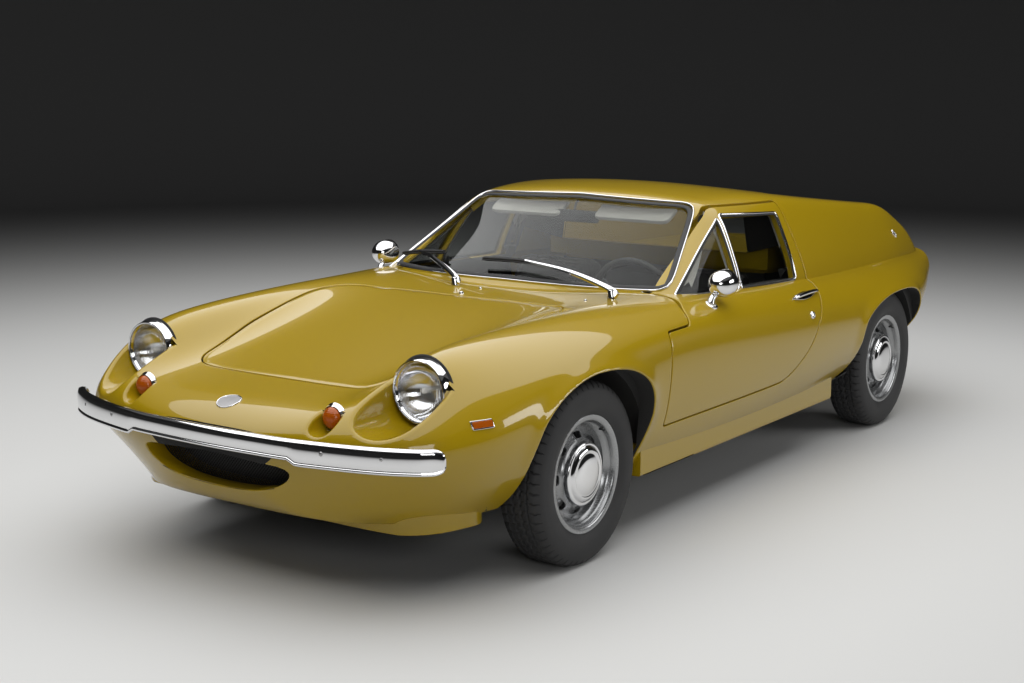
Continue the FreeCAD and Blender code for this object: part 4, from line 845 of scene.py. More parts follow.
roofCuts = [
    {"test": ahead(at(1180), seen(screenOutline, "front", 0, "outside", 0.002)), "roll": 0.002,
     "depth": shell["cabinWall"]},
    sidesCut(doorOutline, gapRoll, "outside", roll=shell["roll"], depth=shell["cabinWall"]),
    {"test": lambda points: np.minimum(points[:, 0] - betweenSails["x"],
                                       betweenSails["y"] - abs(points[:, 1]))},
    {"test": insideOf(bodyTest, 0.003)}]
roofPart = skinPart(cabinSkin, (240, 170), roofCuts)
print("roof skin", len(roofPart[1]))


# The bonnet's skin stands a little proud, and drops to its edge in a soft step.
bonnet = {"proud": 0.003, "lip": 0.012}


def bonnetLift(points, normals):
    inner = np.clip(-fromOutline(points[:, :2], bonnetOutline) / bonnet["lip"], 0, 1)
    return bonnet["proud"] * inner * inner * (3 - 2 * inner)


panelEdge = {"roll": shell["roll"], "depth": shell["wall"] - 0.001}


def lidPart(outline, counts, uRange, lift=None):
    cut = {"test": seen(outline, "plan", 0, "inside", shell["roll"]), **panelEdge}
    return skinPart(bodySkin, counts, [cut], uRange, (.3, .7), lift=lift)


bonnetPart = lidPart(bonnetOutline, (120, 170), (.13, .66), bonnetLift)
deckPart = lidPart(deckOutline, (70, 120), (.55, 1))
print("lid skins", len(bonnetPart[1]), len(deckPart[1]))

doorParts = {}
for name, sign in sides.items():
    half = halfOf(sign)
    low, lowFaces, *_ = cutPanel(bodySkin, (190, 110), [
        sidesCut(doorOutline, shell["roll"], "inside", **panelEdge),
        {"test": cabinCovers}], uRange=(.38, .80), vRange=half)
    high, highFaces, *_ = cutPanel(cabinSkin, (260, 90), [
        sidesCut(doorOutline, shell["roll"], "inside", **panelEdge),
        *(sidesCut(pane, 0.003, "outside", roll=0.003, depth=0.026)
          for pane in (quarterPane, mainPane)),
        {"test": insideOf(bodyTest, 0.003)}], uRange=(0, .75), vRange=half)
    doorParts[name] = shrinkTo(*joined([(low, lowFaces), (high, highFaces)])[:2])
    print("door skin", name, len(doorParts[name][1]))


# What lies behind the skins.
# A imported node's own triangles, merged, without those that touch the outer skins; what stays
# is its walls, floors and linings.
def packedMesh(node):
    packed = frame["nodes"][node]
    mesh = packed.data
    mesh.calc_loop_triangles()
    places = np.empty(len(mesh.vertices) * 3)
    mesh.vertices.foreach_get("co", places)
    corners = np.empty(len(mesh.loop_triangles) * 3, np.int32)
    mesh.loop_triangles.foreach_get("vertices", corners)
    matrix = np.array(packed.matrix_world)
    places = places.reshape(-1, 3) @ matrix[:3, :3].T + matrix[:3, 3]
    unique, index = np.unique(np.round(places, 6), axis=0, return_inverse=True)
    return unique, wholeFaces(index.reshape(-1)[corners].reshape(-1, 3))


def centresAndNormals(points, faces):
    a, b, c = points[faces[:, 0]], points[faces[:, 1]], points[faces[:, 2]]
    normal = np.cross(b - a, c - a)
    return (a + b + c) / 3, normal / np.maximum(np.linalg.norm(normal, axis=1), 1e-15)[:, None]


lining = {"near": 0.0012, "bodyShare": 0.012, "cabinShare": 0.05, "tail": at(2850),
          "tip": at(-800), "sail": 0.001}


def linings(nodes):
    parts = []
    for node in nodes:
        points, faces = packedMesh(node)
        bodyGap, bodyShare = bodyTest.distance(points, signed=False)
        cabinGap, cabinShare = cabinTest.distance(points, signed=False)
        onSkin = (bodyGap < lining["near"]) & (bodyShare > lining["bodyShare"])
        onSkin |= (cabinGap < lining["near"]) & (cabinShare > lining["cabinShare"])
        centre, normal = centresAndNormals(points, faces)
        touching = onSkin[faces].any(1)
        along, across = abs(normal[:, 0]), abs(normal[:, 1])
        offY = abs(abs(centre[:, 1]) - betweenSails["y"])
        offX = abs(centre[:, 0] - betweenSails["x"])
        flat = (along > 0.85) & (centre[:, 0] > lining["tail"])
        flat |= (along > 0.99) & (centre[:, 0] < lining["tip"])
        flat |= (across > 0.98) & (offY < lining["sail"])
        flat |= (along > 0.98) & (offX < lining["sail"])
        kept = ~touching | flat
        for lamp, hole, limit in ((headlamp, .122, -500), (blinker, .052, -690)):
            gap = np.hypot(abs(centre[:, 1]) - lamp["side"], centre[:, 2] - lamp["height"])
            kept &= (gap >= hole) | (centre[:, 0] >= at(limit))
        parts.append(shrinkTo(points, faces[kept]))
    return joined(parts)[:2]


# Which finish a wall behind the skin has, by where it is and how it faces.
def liningKinds(centre, normal):
    x, y, z = centre[:, 0] - axleAt, abs(centre[:, 1]), centre[:, 2]
    kinds = np.zeros(len(centre), int)                                       # 0 jamb paint
    pocket = ((np.hypot(x, z - .262) < .358) & (y > .42)) | ((np.hypot(x - wheelbase, z - .284)
                                                             < .331) & (y > .5))
    under = (normal[:, 2] < -0.4) & (z < .30)
    nose = (x < -.35) & (z < .60) & (y < .62)
    tub = (x > -.34) & (x < .29) & (y < .38) & (z > .43)
    bay = (x > 1.69) & (x < 2.97) & (y < .475) & (z < .69)
    kinds[pocket | under | nose | tub | bay] = 1                             # 1 underseal
    cabin = (x > .05) & (x < 1.645) & (y < .66) & (z > .235) & (z < .72) & ~under
    kinds[cabin] = 2                                                         # 2 black trim
    kinds[cabin & (z < .262)] = 3                                            # 3 carpet
    above = (z > .72) & (x > .4) & (x < 1.645) & (y < .66)
    kinds[above] = np.where(normal[above, 2] < -.4, 4, 2)                    # 4 roof lining
    for outline in archOutlines.values():
        inArch = fromOutline(centre[:, [0, 2]], outline) < .03
        kinds[inArch & (y > .42) & (z < .66) & ~cabin] = 1
    return kinds


liningFinishes = [finishes[name] for name in ("jamb", "underseal", "trimBlack", "carpet",
                                              "lining", "paint")]


# A dressed panel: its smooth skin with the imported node's own walls behind it.
def dressed(name, skin, nodes, body, paintWhere=None):
    inner = linings(nodes)
    points, faces, part = joined([skin, inner])
    centre, normal = centresAndNormals(points, faces)
    kinds = np.where(part == 0, 5, liningKinds(centre, normal))
    deepest = bodyTest.distance(points)[0][faces].min(1)
    deep = (part == 0) & (deepest < -.009) & (centre[:, 2] < .62)
    for outline in archOutlines.values():
        kinds[deep & (fromOutline(centre[:, [0, 2]], outline) < .006)] = 1
    if paintWhere is not None:
        kinds = np.where((part == 1) & paintWhere(centre, normal), 5, kinds)
    piece = meshObject(name, points, faces, liningFinishes, kinds)
    piece.data.set_sharp_from_angle(angle=math.radians(42))
    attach(piece, body)
    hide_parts(*nodes)
    return piece


def sailWalls(centre, normal):
    return ((centre[:, 0] > at(1655)) & (centre[:, 2] > .60)) | (centre[:, 0] > at(2965))


dressed("bodyShell", bodyPart, ["front_body", "floor_tub", "rear_body"], "root",
        lambda centre, normal: (centre[:, 0] > at(2965)) & (normal[:, 0] > .5))
dressed("roofShell", roofPart, ["roof"], "root", sailWalls)
dressed("bonnetLid", bonnetPart, ["bonnet"], "bonnet")
dressed("engineLid", deckPart, ["deck_lid"], "deck_lid")
for name in sides:
    dressed("doorShell." + name, doorParts[name], ["door_" + name], "door_" + name)
print("panels dressed")


# Pieces fitted to the skins.
# Points that coincide become one, and triangles that this flattens are left out.
def welded(points, faces):
    _, first, index = np.unique(np.round(points, 6), axis=0, return_index=True,
                                return_inverse=True)
    return points[first], wholeFaces(index.reshape(-1)[faces])


# Turns a part's faces outwards, by the sign of its volume about its own middle.
def outwards(points, faces):
    a, b, c = (points[faces[:, k]] - points.mean(0) for k in range(3))
    return faces if (a * np.cross(b, c)).sum() >= 0 else faces[:, ::-1]


def lay(name, parts, material, body="root", replaces=(), smoothAngle=40, turn=True):
    ready = []
    for part in parts:
        points, faces = welded(part[0], np.asarray(part[1]))
        ready.append((points, outwards(points, faces) if turn else faces))
    points, faces, kinds = joined(ready)
    materials = material if isinstance(material, list) else [material]
    indices = [part[2] if len(part) > 2 else 0 for part in parts]
    piece = meshObject(name, points, faces, materials, np.array(indices)[kinds])
    mesh = piece.data
    mesh.set_sharp_from_angle(angle=math.radians(smoothAngle))
    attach(piece, body)
    if replaces:
        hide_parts(*replaces)
    return piece


def flipped(part):
    return (part[0], np.asarray(part[1])[:, ::-1], *part[2:])


def reach(evaluate, place):                      # the parameter of a skin at a place along X
    u = np.linspace(0, 1, 400)
    return float(np.interp(place, evaluate(u, np.full(400, .5))[:, 0], u))


# A skin's part as a pane: an outer sheet set in by a depth, the same sheet further in, and the
# rim between them.
def pane(evaluate, counts, cuts, inset, thickness, uRange=(0, 1), vRange=(0, 1)):
    for cut in cuts:
        cut.update(roll=0.0004, depth=thickness - 0.0004)
    points, faces, front, params, normals = cutPanel(
        evaluate, counts, cuts, uRange, vRange,
        lift=level(-inset))
    back = points[:len(params)] - normals * thickness
    return shrinkTo(*joined([(points, faces), (back, front[:, ::-1])])[:2])


# A strip of trim along an outline drawn on a skin: the outline is found on the skin, and the
# profile's (across, up) pairs are laid along it, up being the skin's own normal.
def strip(evaluate, outline, plane, profile, uRange, vRange=(0, 1), lift=0.0, even=90):
    outline = np.asarray(outline, float)
    closed = np.concatenate([outline, outline[:1]])
    run = runOf(closed)
    where = np.linspace(0, run[-1], even, endpoint=False)
    targets = np.stack([np.interp(where, run, closed[:, k]) for k in (0, 1)], 1)
    params = locate(evaluate, targets, plane, vRange, uRange)
    path = evaluate(params[:, 0], params[:, 1])
    up = normalsOf(evaluate, params[:, 0], params[:, 1])
    _, side, up = pathFrame(path, up, closed=True)
    return carried(path + up * lift, side, up, profile, closedPath=True)


def archProfile(width, height, count=9, base=0.0):     # half an ellipse, closed at its foot
    turn = np.linspace(0, math.pi, count)
    return np.stack([np.cos(turn) * width / 2, base + np.sin(turn) * height], 1)


# Windscreen: the pane, a rubber seal round it and a chrome strip on the seal's outer edge.
screen = {"edge": 0.004, "inset": 0.004, "thickness": 0.005, "seal": 0.019, "strip": 0.0075}
toScreen = (0, reach(cabinSkin, at(1185)))
glass = pane(cabinSkin, (70, 70),
             [{"test": seen(screenOutline, "front", 0, "inside", screen["edge"])}],
             screen["inset"], screen["thickness"], toScreen)
lay("windscreenPane", [glass], finishes["windowGlass"], replaces=["windscreen"])


def shrunk(outline, by):                         # an outline moved in along its own normals
    onward = np.roll(outline, -1, 0) - np.roll(outline, 1, 0)
    onward /= np.maximum(np.linalg.norm(onward, axis=1), 1e-9)[:, None]
    square = np.stack([-onward[:, 1], onward[:, 0]], 1)
    area = (outline[:, 0] * np.roll(outline[:, 1], -1)
            - np.roll(outline[:, 0], -1) * outline[:, 1]).sum()
    return outline + square * by * np.sign(area)


seal = strip(cabinSkin, shrunk(screenOutline, .0075), "front",
             archProfile(screen["seal"], 0.0045), toScreen, even=160)
lay("screenSeal", [seal], finishes["rubber"])
edging = strip(cabinSkin, shrunk(screenOutline, -.001), "front",
               archProfile(screen["strip"], 0.0068), toScreen, even=160)
lay("screenStrip", [edging], finishes["chrome"])

# Door windows: panes, seals and chrome frames.
window = {"edge": 0.001, "inset": 0.009, "thickness": 0.004, "frame": (.0085, .0042),
          "seal": (.008, .0030), "sealInside": 0.0045, "points": 110}
toRear = (0, reach(cabinSkin, at(1720)))
for name, sign in sides.items():
    half = halfOf(sign)
    panes, frames, seals = [], [], []
    for outline in (quarterPane, mainPane):
        panes.append(pane(cabinSkin, (130, 60), [
            {"test": seen(outline, "side", sign, "inside", window["edge"])}],
            window["inset"], window["thickness"], toRear, half))
        frames.append(strip(cabinSkin, outline, "side", archProfile(*window["frame"]), toRear,
                            half, .0002, window["points"]))
        seals.append(strip(cabinSkin, shrunk(outline, window["sealInside"]), "side",
                           archProfile(*window["seal"], base=-.004), toRear, half, 0,
                           window["points"]))
    lay("doorPane." + name, panes, finishes["windowGlass"], "door_" + name,
        ["door_glass_" + name])
    lay("windowFrame." + name, frames, finishes["chrome"], "door_" + name)
    lay("windowSeal." + name, seals, finishes["rubber"], "door_" + name)
print("glass and frames")


# Boards: the valance follows a plan curve under the nose, the sill boards run straight.
boards = {"low": 0.1985, "high": 0.262, "thick": 0.008, "proud": 0.001,
          "sill": (at(322), at(1790)), "side": 0.7345, "sillLow": 0.2052}
valanceHalf = metres([(-300, 562), (-375, 613), (-456, 601), (-519, 579), (-567, 545), (-600, 499),
                      (-609, 440), (-613, 363), (-614, 210), (-614, 70)])
plan = smoothPath(bothHalves(valanceHalf)[::-1], 6)
path = np.column_stack([plan, np.full(len(plan), boards["low"])])
_, side, up = pathFrame(path, (0, 0, 1))
height, thick = boards["high"] - boards["low"], boards["thick"]
boardProfile = [(-boards["proud"], .004), (0, .0012), (.003, 0), (thick - .002, 0),
                (thick, .003), (thick, height), (-boards["proud"], height)]
outward = 1 if side[len(side) // 2, 0] > 0 else -1
boardProfile = np.array(boardProfile) * [outward, 1]
valance = carried(path, side, up, boardProfile)
boardParts = [valance]
for sign in sides.values():
    path = np.linspace(*([x, sign * boards["side"], boards["sillLow"]]
                         for x in boards["sill"]), 30)
    turn = np.linspace(0, math.pi / 2, 6)
    corner = np.stack([.0020 - .008 + .008 * np.cos(turn), .008 - .008 * np.sin(turn)], 1)
    profile = np.concatenate([[(.0020, .10)], corner, [(-.12, 0), (-.12, .10)]])
    _, side, up = pathFrame(path, (0, 0, 1))
    inwardSign = 1 if side[0, 1] * sign > 0 else -1
    boardParts.append(carried(path, side, up, profile * [inwardSign, 1]))
lay("skirtBoards", boardParts, finishes["paint"])


# Bumpers: a curved blade with a rolled lower bead. Its section is a closed loop; the lower edge
# steps up over the intake, and both ends are drawn to a rounded tip.
def bladeSection(low, high, depth, bead):
    face = [(-depth, high - .002), (-depth * .55, high - .0002), (-depth * .2, high - .003)]
    face += [(-.0015, high - .012), (0, (low + high) / 2 + .004), (-.0015, low + .017)]
    face += [(-.006, low + .0085), (-.004, low + .0065)]
    turn = np.linspace(.45 * math.pi, -.75 * math.pi, 9)
    face += [(bead * math.cos(a) - bead - .0005, low + bead + bead * math.sin(a)) for a in turn]
    back = [(-depth * .6, low + .008), (-.009, low + .018), (-.006, (low + high) / 2),
            (-.009, high - .014), (-depth, high - .006)]
    return np.array(face + back)


bumperShape = {"depth": 0.026, "bead": 0.0055, "low": 0.4255, "high": 0.4995, "notch": 0.014}


def bumper(points, notch, outwardX):
    path = smoothPath(np.array(points)[:, :2], 14)
    path = np.column_stack([path, np.zeros(len(path))])
    run = runOf(path)
    _, side, up = pathFrame(path, (0, 0, 1))
    if side[len(side) // 2, 0] * outwardX < 0:
        side = -side
    sections = []
    for here, (x, y, _) in zip(run, path):
        step = np.clip((.334 - abs(y)) / .030, 0, 1)
        low = bumperShape["low"] + notch * step * step * (3 - 2 * step)
        high = bumperShape["high"]
        end = min(here, run[-1] - here)
        tip = math.sqrt(max(0, 1 - max(0, 1 - end / .040) ** 2))
        middle = (low + high) / 2 - .004
        section = bladeSection(low, high, bumperShape["depth"], bumperShape["bead"])
        section[:, 1] = middle + (section[:, 1] - middle) * (.42 + .58 * tip)
        section[:, 0] -= .008 * (1 - tip)
        sections.append(section)
    part = carried(path, side, up, np.array(sections))
    return part if outwardX > 0 else flipped(part)


frontPlan = [(-.870, 0), (-.864, .18), (-.850, .330), (-.802, .540), (-.748, .665), (-.690, .732)]
frontPlan = [(x, -y) for x, y in frontPlan[::-1]] + frontPlan[1:]
frontBumper = bumper([(x + axleAt, y) for x, y in frontPlan], bumperShape["notch"], -1)
lay("frontBumper", [frontBumper], finishes["chrome"], replaces=["bumper_front"],
    smoothAngle=60)
rearPlan = [(1.997, 0), (1.993, .300), (1.983, .480), (1.965, .590)]
rearPlan = [(x, -y) for x, y in rearPlan[::-1]] + rearPlan[1:]
lay("rearBumper", [bumper(rearPlan, 0, 1)], finishes["chrome"], replaces=["bumper_rear"],
    smoothAngle=60)
bolts = []
for y in (-.585, -.415, .415, .585):
    x = np.interp(abs(y), [.330, .540, .665], [-.850, -.802, -.748]) + axleAt
    slant = math.atan2(.09, .25)
    direction = (-math.cos(slant), math.copysign(math.sin(slant), y), 0)
    dome = [(0, .0060), (.004, .0053), (.0070, .0028), (.0082, -.002)]
    bolts.append(turned(dome, (x + .001, y, .470), direction, 20))
lay("bumperBolts", bolts, finishes["steel"])
print("bumpers")


# Lamps, each turned about its own axis: rings, bowls, bulbs and lenses.
def addRibs(material, axis, scale, strength, depth=0.0006):
    nodes, links = material.node_tree.nodes, material.node_tree.links
    place, wave, height = (nodes.new(kind) for kind in (
        "ShaderNodeTexCoord", "ShaderNodeTexWave", "ShaderNodeBump"))
    wave.bands_direction = axis
    wave.inputs["Scale"].default_value = scale
    height.inputs["Strength"].default_value = strength
    height.inputs["Distance"].default_value = depth
    links.new(place.outputs["Object"], wave.inputs["Vector"])
    links.new(wave.outputs["Fac"], height.inputs["Height"])
    links.new(height.outputs["Normal"], nodes["Principled BSDF"].inputs["Normal"])


addRibs(finishes["lensGlass"], "Y", 55, 0.5)
addRibs(finishes["amber"], "Z", 60, 0.4)
addRibs(finishes["red"], "Z", 60, 0.4)
rings, bowls, lenses, bulbs, collars = [], [], [], [], []
for sign in sides.values():
    centre = (headlamp["x"], sign * headlamp["side"], headlamp["height"])
    ringLoop = [(.0950, -.0050), (.0938, -.0025), (.0930, .0), (.0930, .012), (.0928, .022),
                (.0910, .0275), (.0885, .0290), (.0862, .0280), (.0850, .0250), (.0856, .0215),
                (.0835, .0190), (.0815, .0165), (.0800, .0120), (.0790, .0), (.0790, -.0005)]
    rings.append(turned(ringLoop, centre, (-1, 0, 0), 96))
    collars.append(turned([(.0930, -.0035), (.0945, -.0030), (.0990, -.0040), (.1020, -.0065)],
                          centre, (-1, 0, 0), 96))
    angles = np.linspace(0.02, 1.25, 14)
    bowl = [(.079 * math.sin(a) / math.sin(1.25), -.047 + .055 * (1 - math.cos(a)) / .685)
            for a in angles]
    bowls.append(turned(bowl, centre, (-1, 0, 0), 64))
    angles = np.linspace(0, 1, 12)
    outer = [(.0815 * a, .0275 - .0125 * a ** 2.2) for a in angles]
    inner = [(r, z - .003) for r, z in outer[::-1]]
    lenses.append(turned(outer + inner, centre, (-1, 0, 0), 72))
    bulb = [(0, .010), (.006, .008), (.009, .002), (.009, -.008), (.006, -.020), (.006, -.040)]
    bulbs.append(turned(bulb, centre, (-1, 0, 0), 20))
lay("headlampCollars", collars, finishes["rubber"])
lay("headlampRings", rings, finishes["chrome"], replaces=["headlamps"])
lay("headlampBowls", bowls, finishes["reflector"], turn=False)
lay("headlampBulbs", bulbs, finishes["bulb"])
lay("headlampLenses", lenses, finishes["lensGlass"], replaces=["headlamp_lenses"])

rims, domes = [], []
for sign in sides.values():
    centre = (blinker["x"], sign * blinker["side"], blinker["height"])
    rims.append(turned([(.0410, -.0095), (.0372, -.0060), (.0350, .0020), (.0342, .0048),
                        (.0326, .0058), (.0310, .0035)], centre, (-1, 0, 0), 56))
    angles = np.linspace(0, math.pi / 2, 10)
    dome = [(.0314 * math.sin(a), .0030 + .0240 * math.cos(a)) for a in angles]
    domes.append(turned(dome + [(.0314, -.004), (0, -.004)], centre, (-1, 0, 0), 56))
lay("blinkerRims", rims, finishes["chrome"])
lay("blinkerDomes", domes, finishes["amber"], replaces=["blinkers"])

markerFrames, markerLenses = [], []
for sign in sides.values():
    half = halfOf(sign)
    outline = rounded(metres([(-560, 524), (-492, 524), (-492, 549), (-560, 549)]), .004)
    for grown, height, group in ((0.0, .0035, markerFrames), (.0035, .0062, markerLenses)):
        group.append(skinPart(
            bodySkin, (90, 60), [sidesCut(outline, .002 + grown, "inside", roll=.0018,
                                          depth=height)],
            (reach(bodySkin, at(-600)), reach(bodySkin, at(-450))),
            halfOf(sign, (.08, .32), (.68, .92)), lift=level(height)))
lay("markerFrames", markerFrames, finishes["chrome"])
lay("markerLenses", markerLenses, finishes["amber"], replaces=["side_markers"])

tailLamp = {"x": at(2311 + 757), "sides": (.575, .483), "height": .598}
tailRims, tailLenses = [], []
for sign in sides.values():
    for number, side in enumerate(tailLamp["sides"]):
        centre = (tailLamp["x"], sign * side, tailLamp["height"])
        tailRims.append(turned([(.0375, -.018), (.038, .006), (.0365, .0100), (.0340, .0105),
                                (.0325, .008)], centre, (1, 0, 0), 48))
        dome = [(.033 * math.sin(a), .008 + .0145 * math.cos(a))
                for a in np.linspace(0, math.pi / 2, 9)]
        tailLenses.append((*turned(dome + [(.033, -.004), (0, -.004)], centre, (1, 0, 0), 48),
                           number))
lay("tailLampRims", tailRims, finishes["chrome"])
lay("tailLampLenses", tailLenses, [finishes["red"], finishes["amber"]],
    replaces=["tail_lamps"])
print("lamps")


# Intake mesh: thin wires in two crossing waves, with a black strip round the opening.
intake = {"x": at(-748), "pitch": 0.0105, "wire": 0.0014}
wires = []
for lean in (-1, 1):
    for number in range(-44, 45):
        start = number * intake["pitch"]
        z = np.linspace(.305, .420, 24)
        y = start + lean * (z - .362) * .9
        inside = (fromOutline(np.column_stack([y, z]), grilleOutline) < .004)
        if inside.sum() < 2:
            continue
        x = np.full(24, intake["x"]) + lean * .0009
        wires.append(tube(np.column_stack([x, y, z])[inside], intake["wire"], 5, (1, 0, 0)))
lay("intakeMesh", wires, finishes["black"])
shade = strip(lambda u, v: np.column_stack([np.full(len(u), intake["x"]), (v - .5) * .7,
                                            .28 + .17 * u]), grilleOutline, "front",
              archProfile(.007, .004), (0, 1), even=120)
lay("intakeEdge", [shade], finishes["black"], replaces=["grille"])


# Mirrors: a bullet shell turned about X, its glass, and a cast foot that sweeps up to it.
mirror = {"place": (at(850), .738, .768), "radius": .047}
for name, sign in sides.items():
    centre = (mirror["place"][0], sign * mirror["place"][1], mirror["place"][2])
    angles = np.linspace(0, math.pi / 2, 14)
    bullet = [(mirror["radius"] * math.sin(a), .062 * math.cos(a)) for a in angles]
    bullet += [(.0475, -.014), (.0470, -.026), (.0445, -.030), (.0425, -.028)]
    housing = turned(bullet, centre, (-1, 0, 0), 56)
    glass = turned([(.0428, -.0275), (0, -.0275)], centre, (-1, 0, 0), 40)
    footAt = np.array([at(796), sign * .722, .700])
    stem = smoothPath([footAt + [0, 0, -.004], footAt + [.004, 0, .012],
                       footAt + [.020, sign * .004, .030],
                       np.array(centre) + [-.006, 0, -.036]], 8)
    neck = tube(stem, np.linspace(.0145, .0075, len(stem)), 14, (0, 1, 0))
    base = turned([(0, .010), (.012, .009), (.021, .006), (.026, .0015), (.0265, -.012)],
                  footAt, (0, sign * .35, .94), 32)
    lay("mirror." + name, [housing, (*glass, 1), neck, base],
        [finishes["chrome"], finishes["reflector"]], "door_" + name, ["mirror_" + name])

# Door handles: a lozenge plate with a pull bar over it, and a round lock below.
handle = {"from": 1330, "to": 1588, "height": .656, "half": 17}
for name, sign in sides.items():
    flank = halfOf(sign, (.12, .40), (.60, .88))
    middle = (handle["from"] + handle["to"]) / 2
    lozenge = rounded(metres([(handle["from"], 655), (middle, 655 + handle["half"]),
                              (handle["to"], 657), (middle, 655 - handle["half"])]),
                      [.01, .06, .01, .06])
    plate, plateFaces, *_ = cutPanel(
        bodySkin, (120, 70), [sidesCut(lozenge, .002, "inside", roll=.002, depth=.004)],
        (reach(bodySkin, at(1300)), reach(bodySkin, at(1620))),
        flank, lift=level(.003))
    barPlaces = np.column_stack([np.linspace(handle["from"] + 30, handle["to"] - 20, 14) / 1000
                                 + axleAt, np.full(14, handle["height"])])
    params = locate(bodySkin, barPlaces, "side", flank)
    path = bodySkin(params[:, 0], params[:, 1])
    up = normalsOf(bodySkin, params[:, 0], params[:, 1])
    share = np.linspace(0, 1, 14)
    path = path + up * (.004 + .011 * np.sin(math.pi * share) ** .6)[:, None]
    _, side, up = pathFrame(path, up)
    bar = carried(path, side, up, archProfile(.016, .008))
    lockAt = locate(bodySkin, metres([(1447, 587)]), "side", flank)
    lockPlace = bodySkin(lockAt[:, 0], lockAt[:, 1])[0]
    lockUp = normalsOf(bodySkin, lockAt[:, 0], lockAt[:, 1])[0]
    lock = turned([(0, .0075), (.005, .0072), (.0058, .0045), (.0075, .0042), (.0085, .0065),
                   (.0120, .0058), (.0145, .0025), (.0150, -.004)], lockPlace, lockUp, 32)
    lay("doorHandle." + name, [shrinkTo(plate, plateFaces), bar, lock], finishes["chrome"],
        "door_" + name)


# A small chromed slot in each sail panel, towards the tail.
slots = []
for sign in sides.values():
    half = halfOf(sign)
    outline = rounded(metres([(2632, 787), (2672, 765), (2668, 751), (2628, 773)]), .004)
    tailRange = (reach(cabinSkin, at(2560)), reach(cabinSkin, at(2760)))
    slots.append(strip(cabinSkin, outline, "side", archProfile(.0045, .0035), tailRange, half, 0,
                       40))
    points, faces, *_ = cutPanel(cabinSkin, (90, 90), [sidesCut(outline, .001, "inside")],
                                 tailRange, half,
                                 lift=level(.0008))
    slots.append((*shrinkTo(points, faces), 1))
lay("sailSlots", slots, [finishes["chrome"], finishes["black"]])


# Wipers: a wedge-shaped arm on a block, and a blade of holder, frame and rubber.
def wiper(arm, blade):
    arm, blade = np.array(arm, float), np.array(blade, float)
    arm[:, 0] = at(arm[:, 0] * 1000)
    blade[:, 0] = at(blade[:, 0] * 1000)
    path = smoothPath(arm, 8)
    share = np.linspace(0, 1, len(path))[:, None, None]
    section = np.array([(-1, -.5), (-.85, .25), (0, .55), (.85, .25), (1, -.5)])
    _, side, up = pathFrame(path, (-.75, 0, .66))
    bar = carried(path, side, up, section[None] * (.0160 - .0110 * share ** .8))
    pivot = turned([(0, .020), (.008, .019), (.011, .015), (.0115, .0), (.014, -.004),
                    (.0145, -.014)], arm[0] + [0, 0, .008], (-.2, 0, 1), 28)
    bladePath = smoothPath(blade, 8)
    holder = tube(bladePath, .0042, 8)
    rails = [tube(bladePath + across * .0075 - over * .002, .0024, 6)
             for across, over in ((pathFrame(bladePath, (-.6, 0, .8))[1] * way,
                                  pathFrame(bladePath, (-.6, 0, .8))[2]) for way in (-1, 1))]
    _, side, up = pathFrame(bladePath, (-.6, 0, .8))
    rubber = carried(bladePath - up * .007, side, up,
                     [(-.0045, .004), (.0045, .004), (.002, -.001), (.0012, -.006),
                      (-.0012, -.006), (-.002, -.001)])
    return [bar, pivot, (*holder, 1), (*rubber, 1)] + [(*rail, 1) for rail in rails]


wiperParts = wiper([(.489, -.517, .744), (.505, -.508, .766), (.590, -.290, .800),
                    (.650, -.060, .816)],
                   [(.636, -.245, .799), (.650, -.060, .814), (.648, .120, .812)])
wiperParts += wiper([(.504, .138, .731), (.520, .150, .757), (.640, .340, .797),
                     (.716, .470, .806)],
                    [(.690, .330, .816), (.716, .470, .805), (.738, .560, .790)])
lay("wiperArms", wiperParts, [finishes["chrome"], finishes["rubber"]], replaces=["wipers"])
knobs = []
for x, y, radius in ((406, .036, .0085), (494, .019, .0055), (435, -.451, .0055)):
    found = locate(bodySkin, [(at(x), y)], "plan", (.25, .75))
    knobs.append(turned([(0, radius), (radius * .6, radius * .85), (radius, radius * .3),
                         (radius * 1.1, -.003)], bodySkin(found[:, 0], found[:, 1])[0],
                        normalsOf(bodySkin, found[:, 0], found[:, 1])[0], 20))
lay("washerJets", knobs, finishes["chrome"])

# A plain oval plate on the nose, with nothing on it.
oval = {"place": 756, "half": (.038, .034)}
turn = np.linspace(0, 2 * math.pi, 40, endpoint=False)
outline = np.column_stack([at(-oval["place"]) + oval["half"][1] * np.cos(turn) * .95,
                           oval["half"][0] * np.sin(turn)])
noseRange = (reach(bodySkin, at(-805)), reach(bodySkin, at(-700)))
plate = skinPart(
    bodySkin, (80, 60), [{"test": seen(outline, "plan", 0, "inside", .001), "roll": .001,
                          "depth": .002}], noseRange, (.42, .58), lift=level(.0016))
rim = strip(bodySkin, outline, "plan", archProfile(.004, .0032), noseRange, (.42, .58), 0, 60)
lay("nosePlate", [plate, (*rim, 1)], [finishes["steel"], finishes["chrome"]])
print("small fittings")


# Under the nose: the skin's own underside carried on from the sill edges to the keel.
noseLines = [
    bodyLines[0],
    [(-838, 130, 385), (-825, 170, 340), (-775, 250, 250), (-690, 340, 225), (-380, 520, 220),
     (480, 620, 222), (1700, 620, 222), (2150, 610, 230), (2850, 560, 300), (3094, 500, 345)],
    [(-838, 0, 385), (-825, 0, 340), (-775, 0, 250), (-690, 0, 225), (-380, 0, 220),
     (1700, 0, 220), (2150, 0, 225), (2850, 0, 300), (3094, 0, 345)]]
underSkin = makeSkin(noseLines, bodyStations)
edgeRun = np.tile(np.linspace(0, reach(bodySkin, at(-545)), 260), 2)
edgeSide = np.repeat([0.0, 1.0], 260)
edgeLine = bodySkin(edgeRun, edgeSide)
edgeNormals = sum(way * np.sign((way * (edgeLine - [at(-300), 0, .38])).sum(1))[:, None]
                  for way in (normalsOf(skin, edgeRun, edgeSide)
                              for skin in (bodySkin, underSkin)))
edgeNormals /= np.linalg.norm(edgeNormals, axis=1)[:, None]
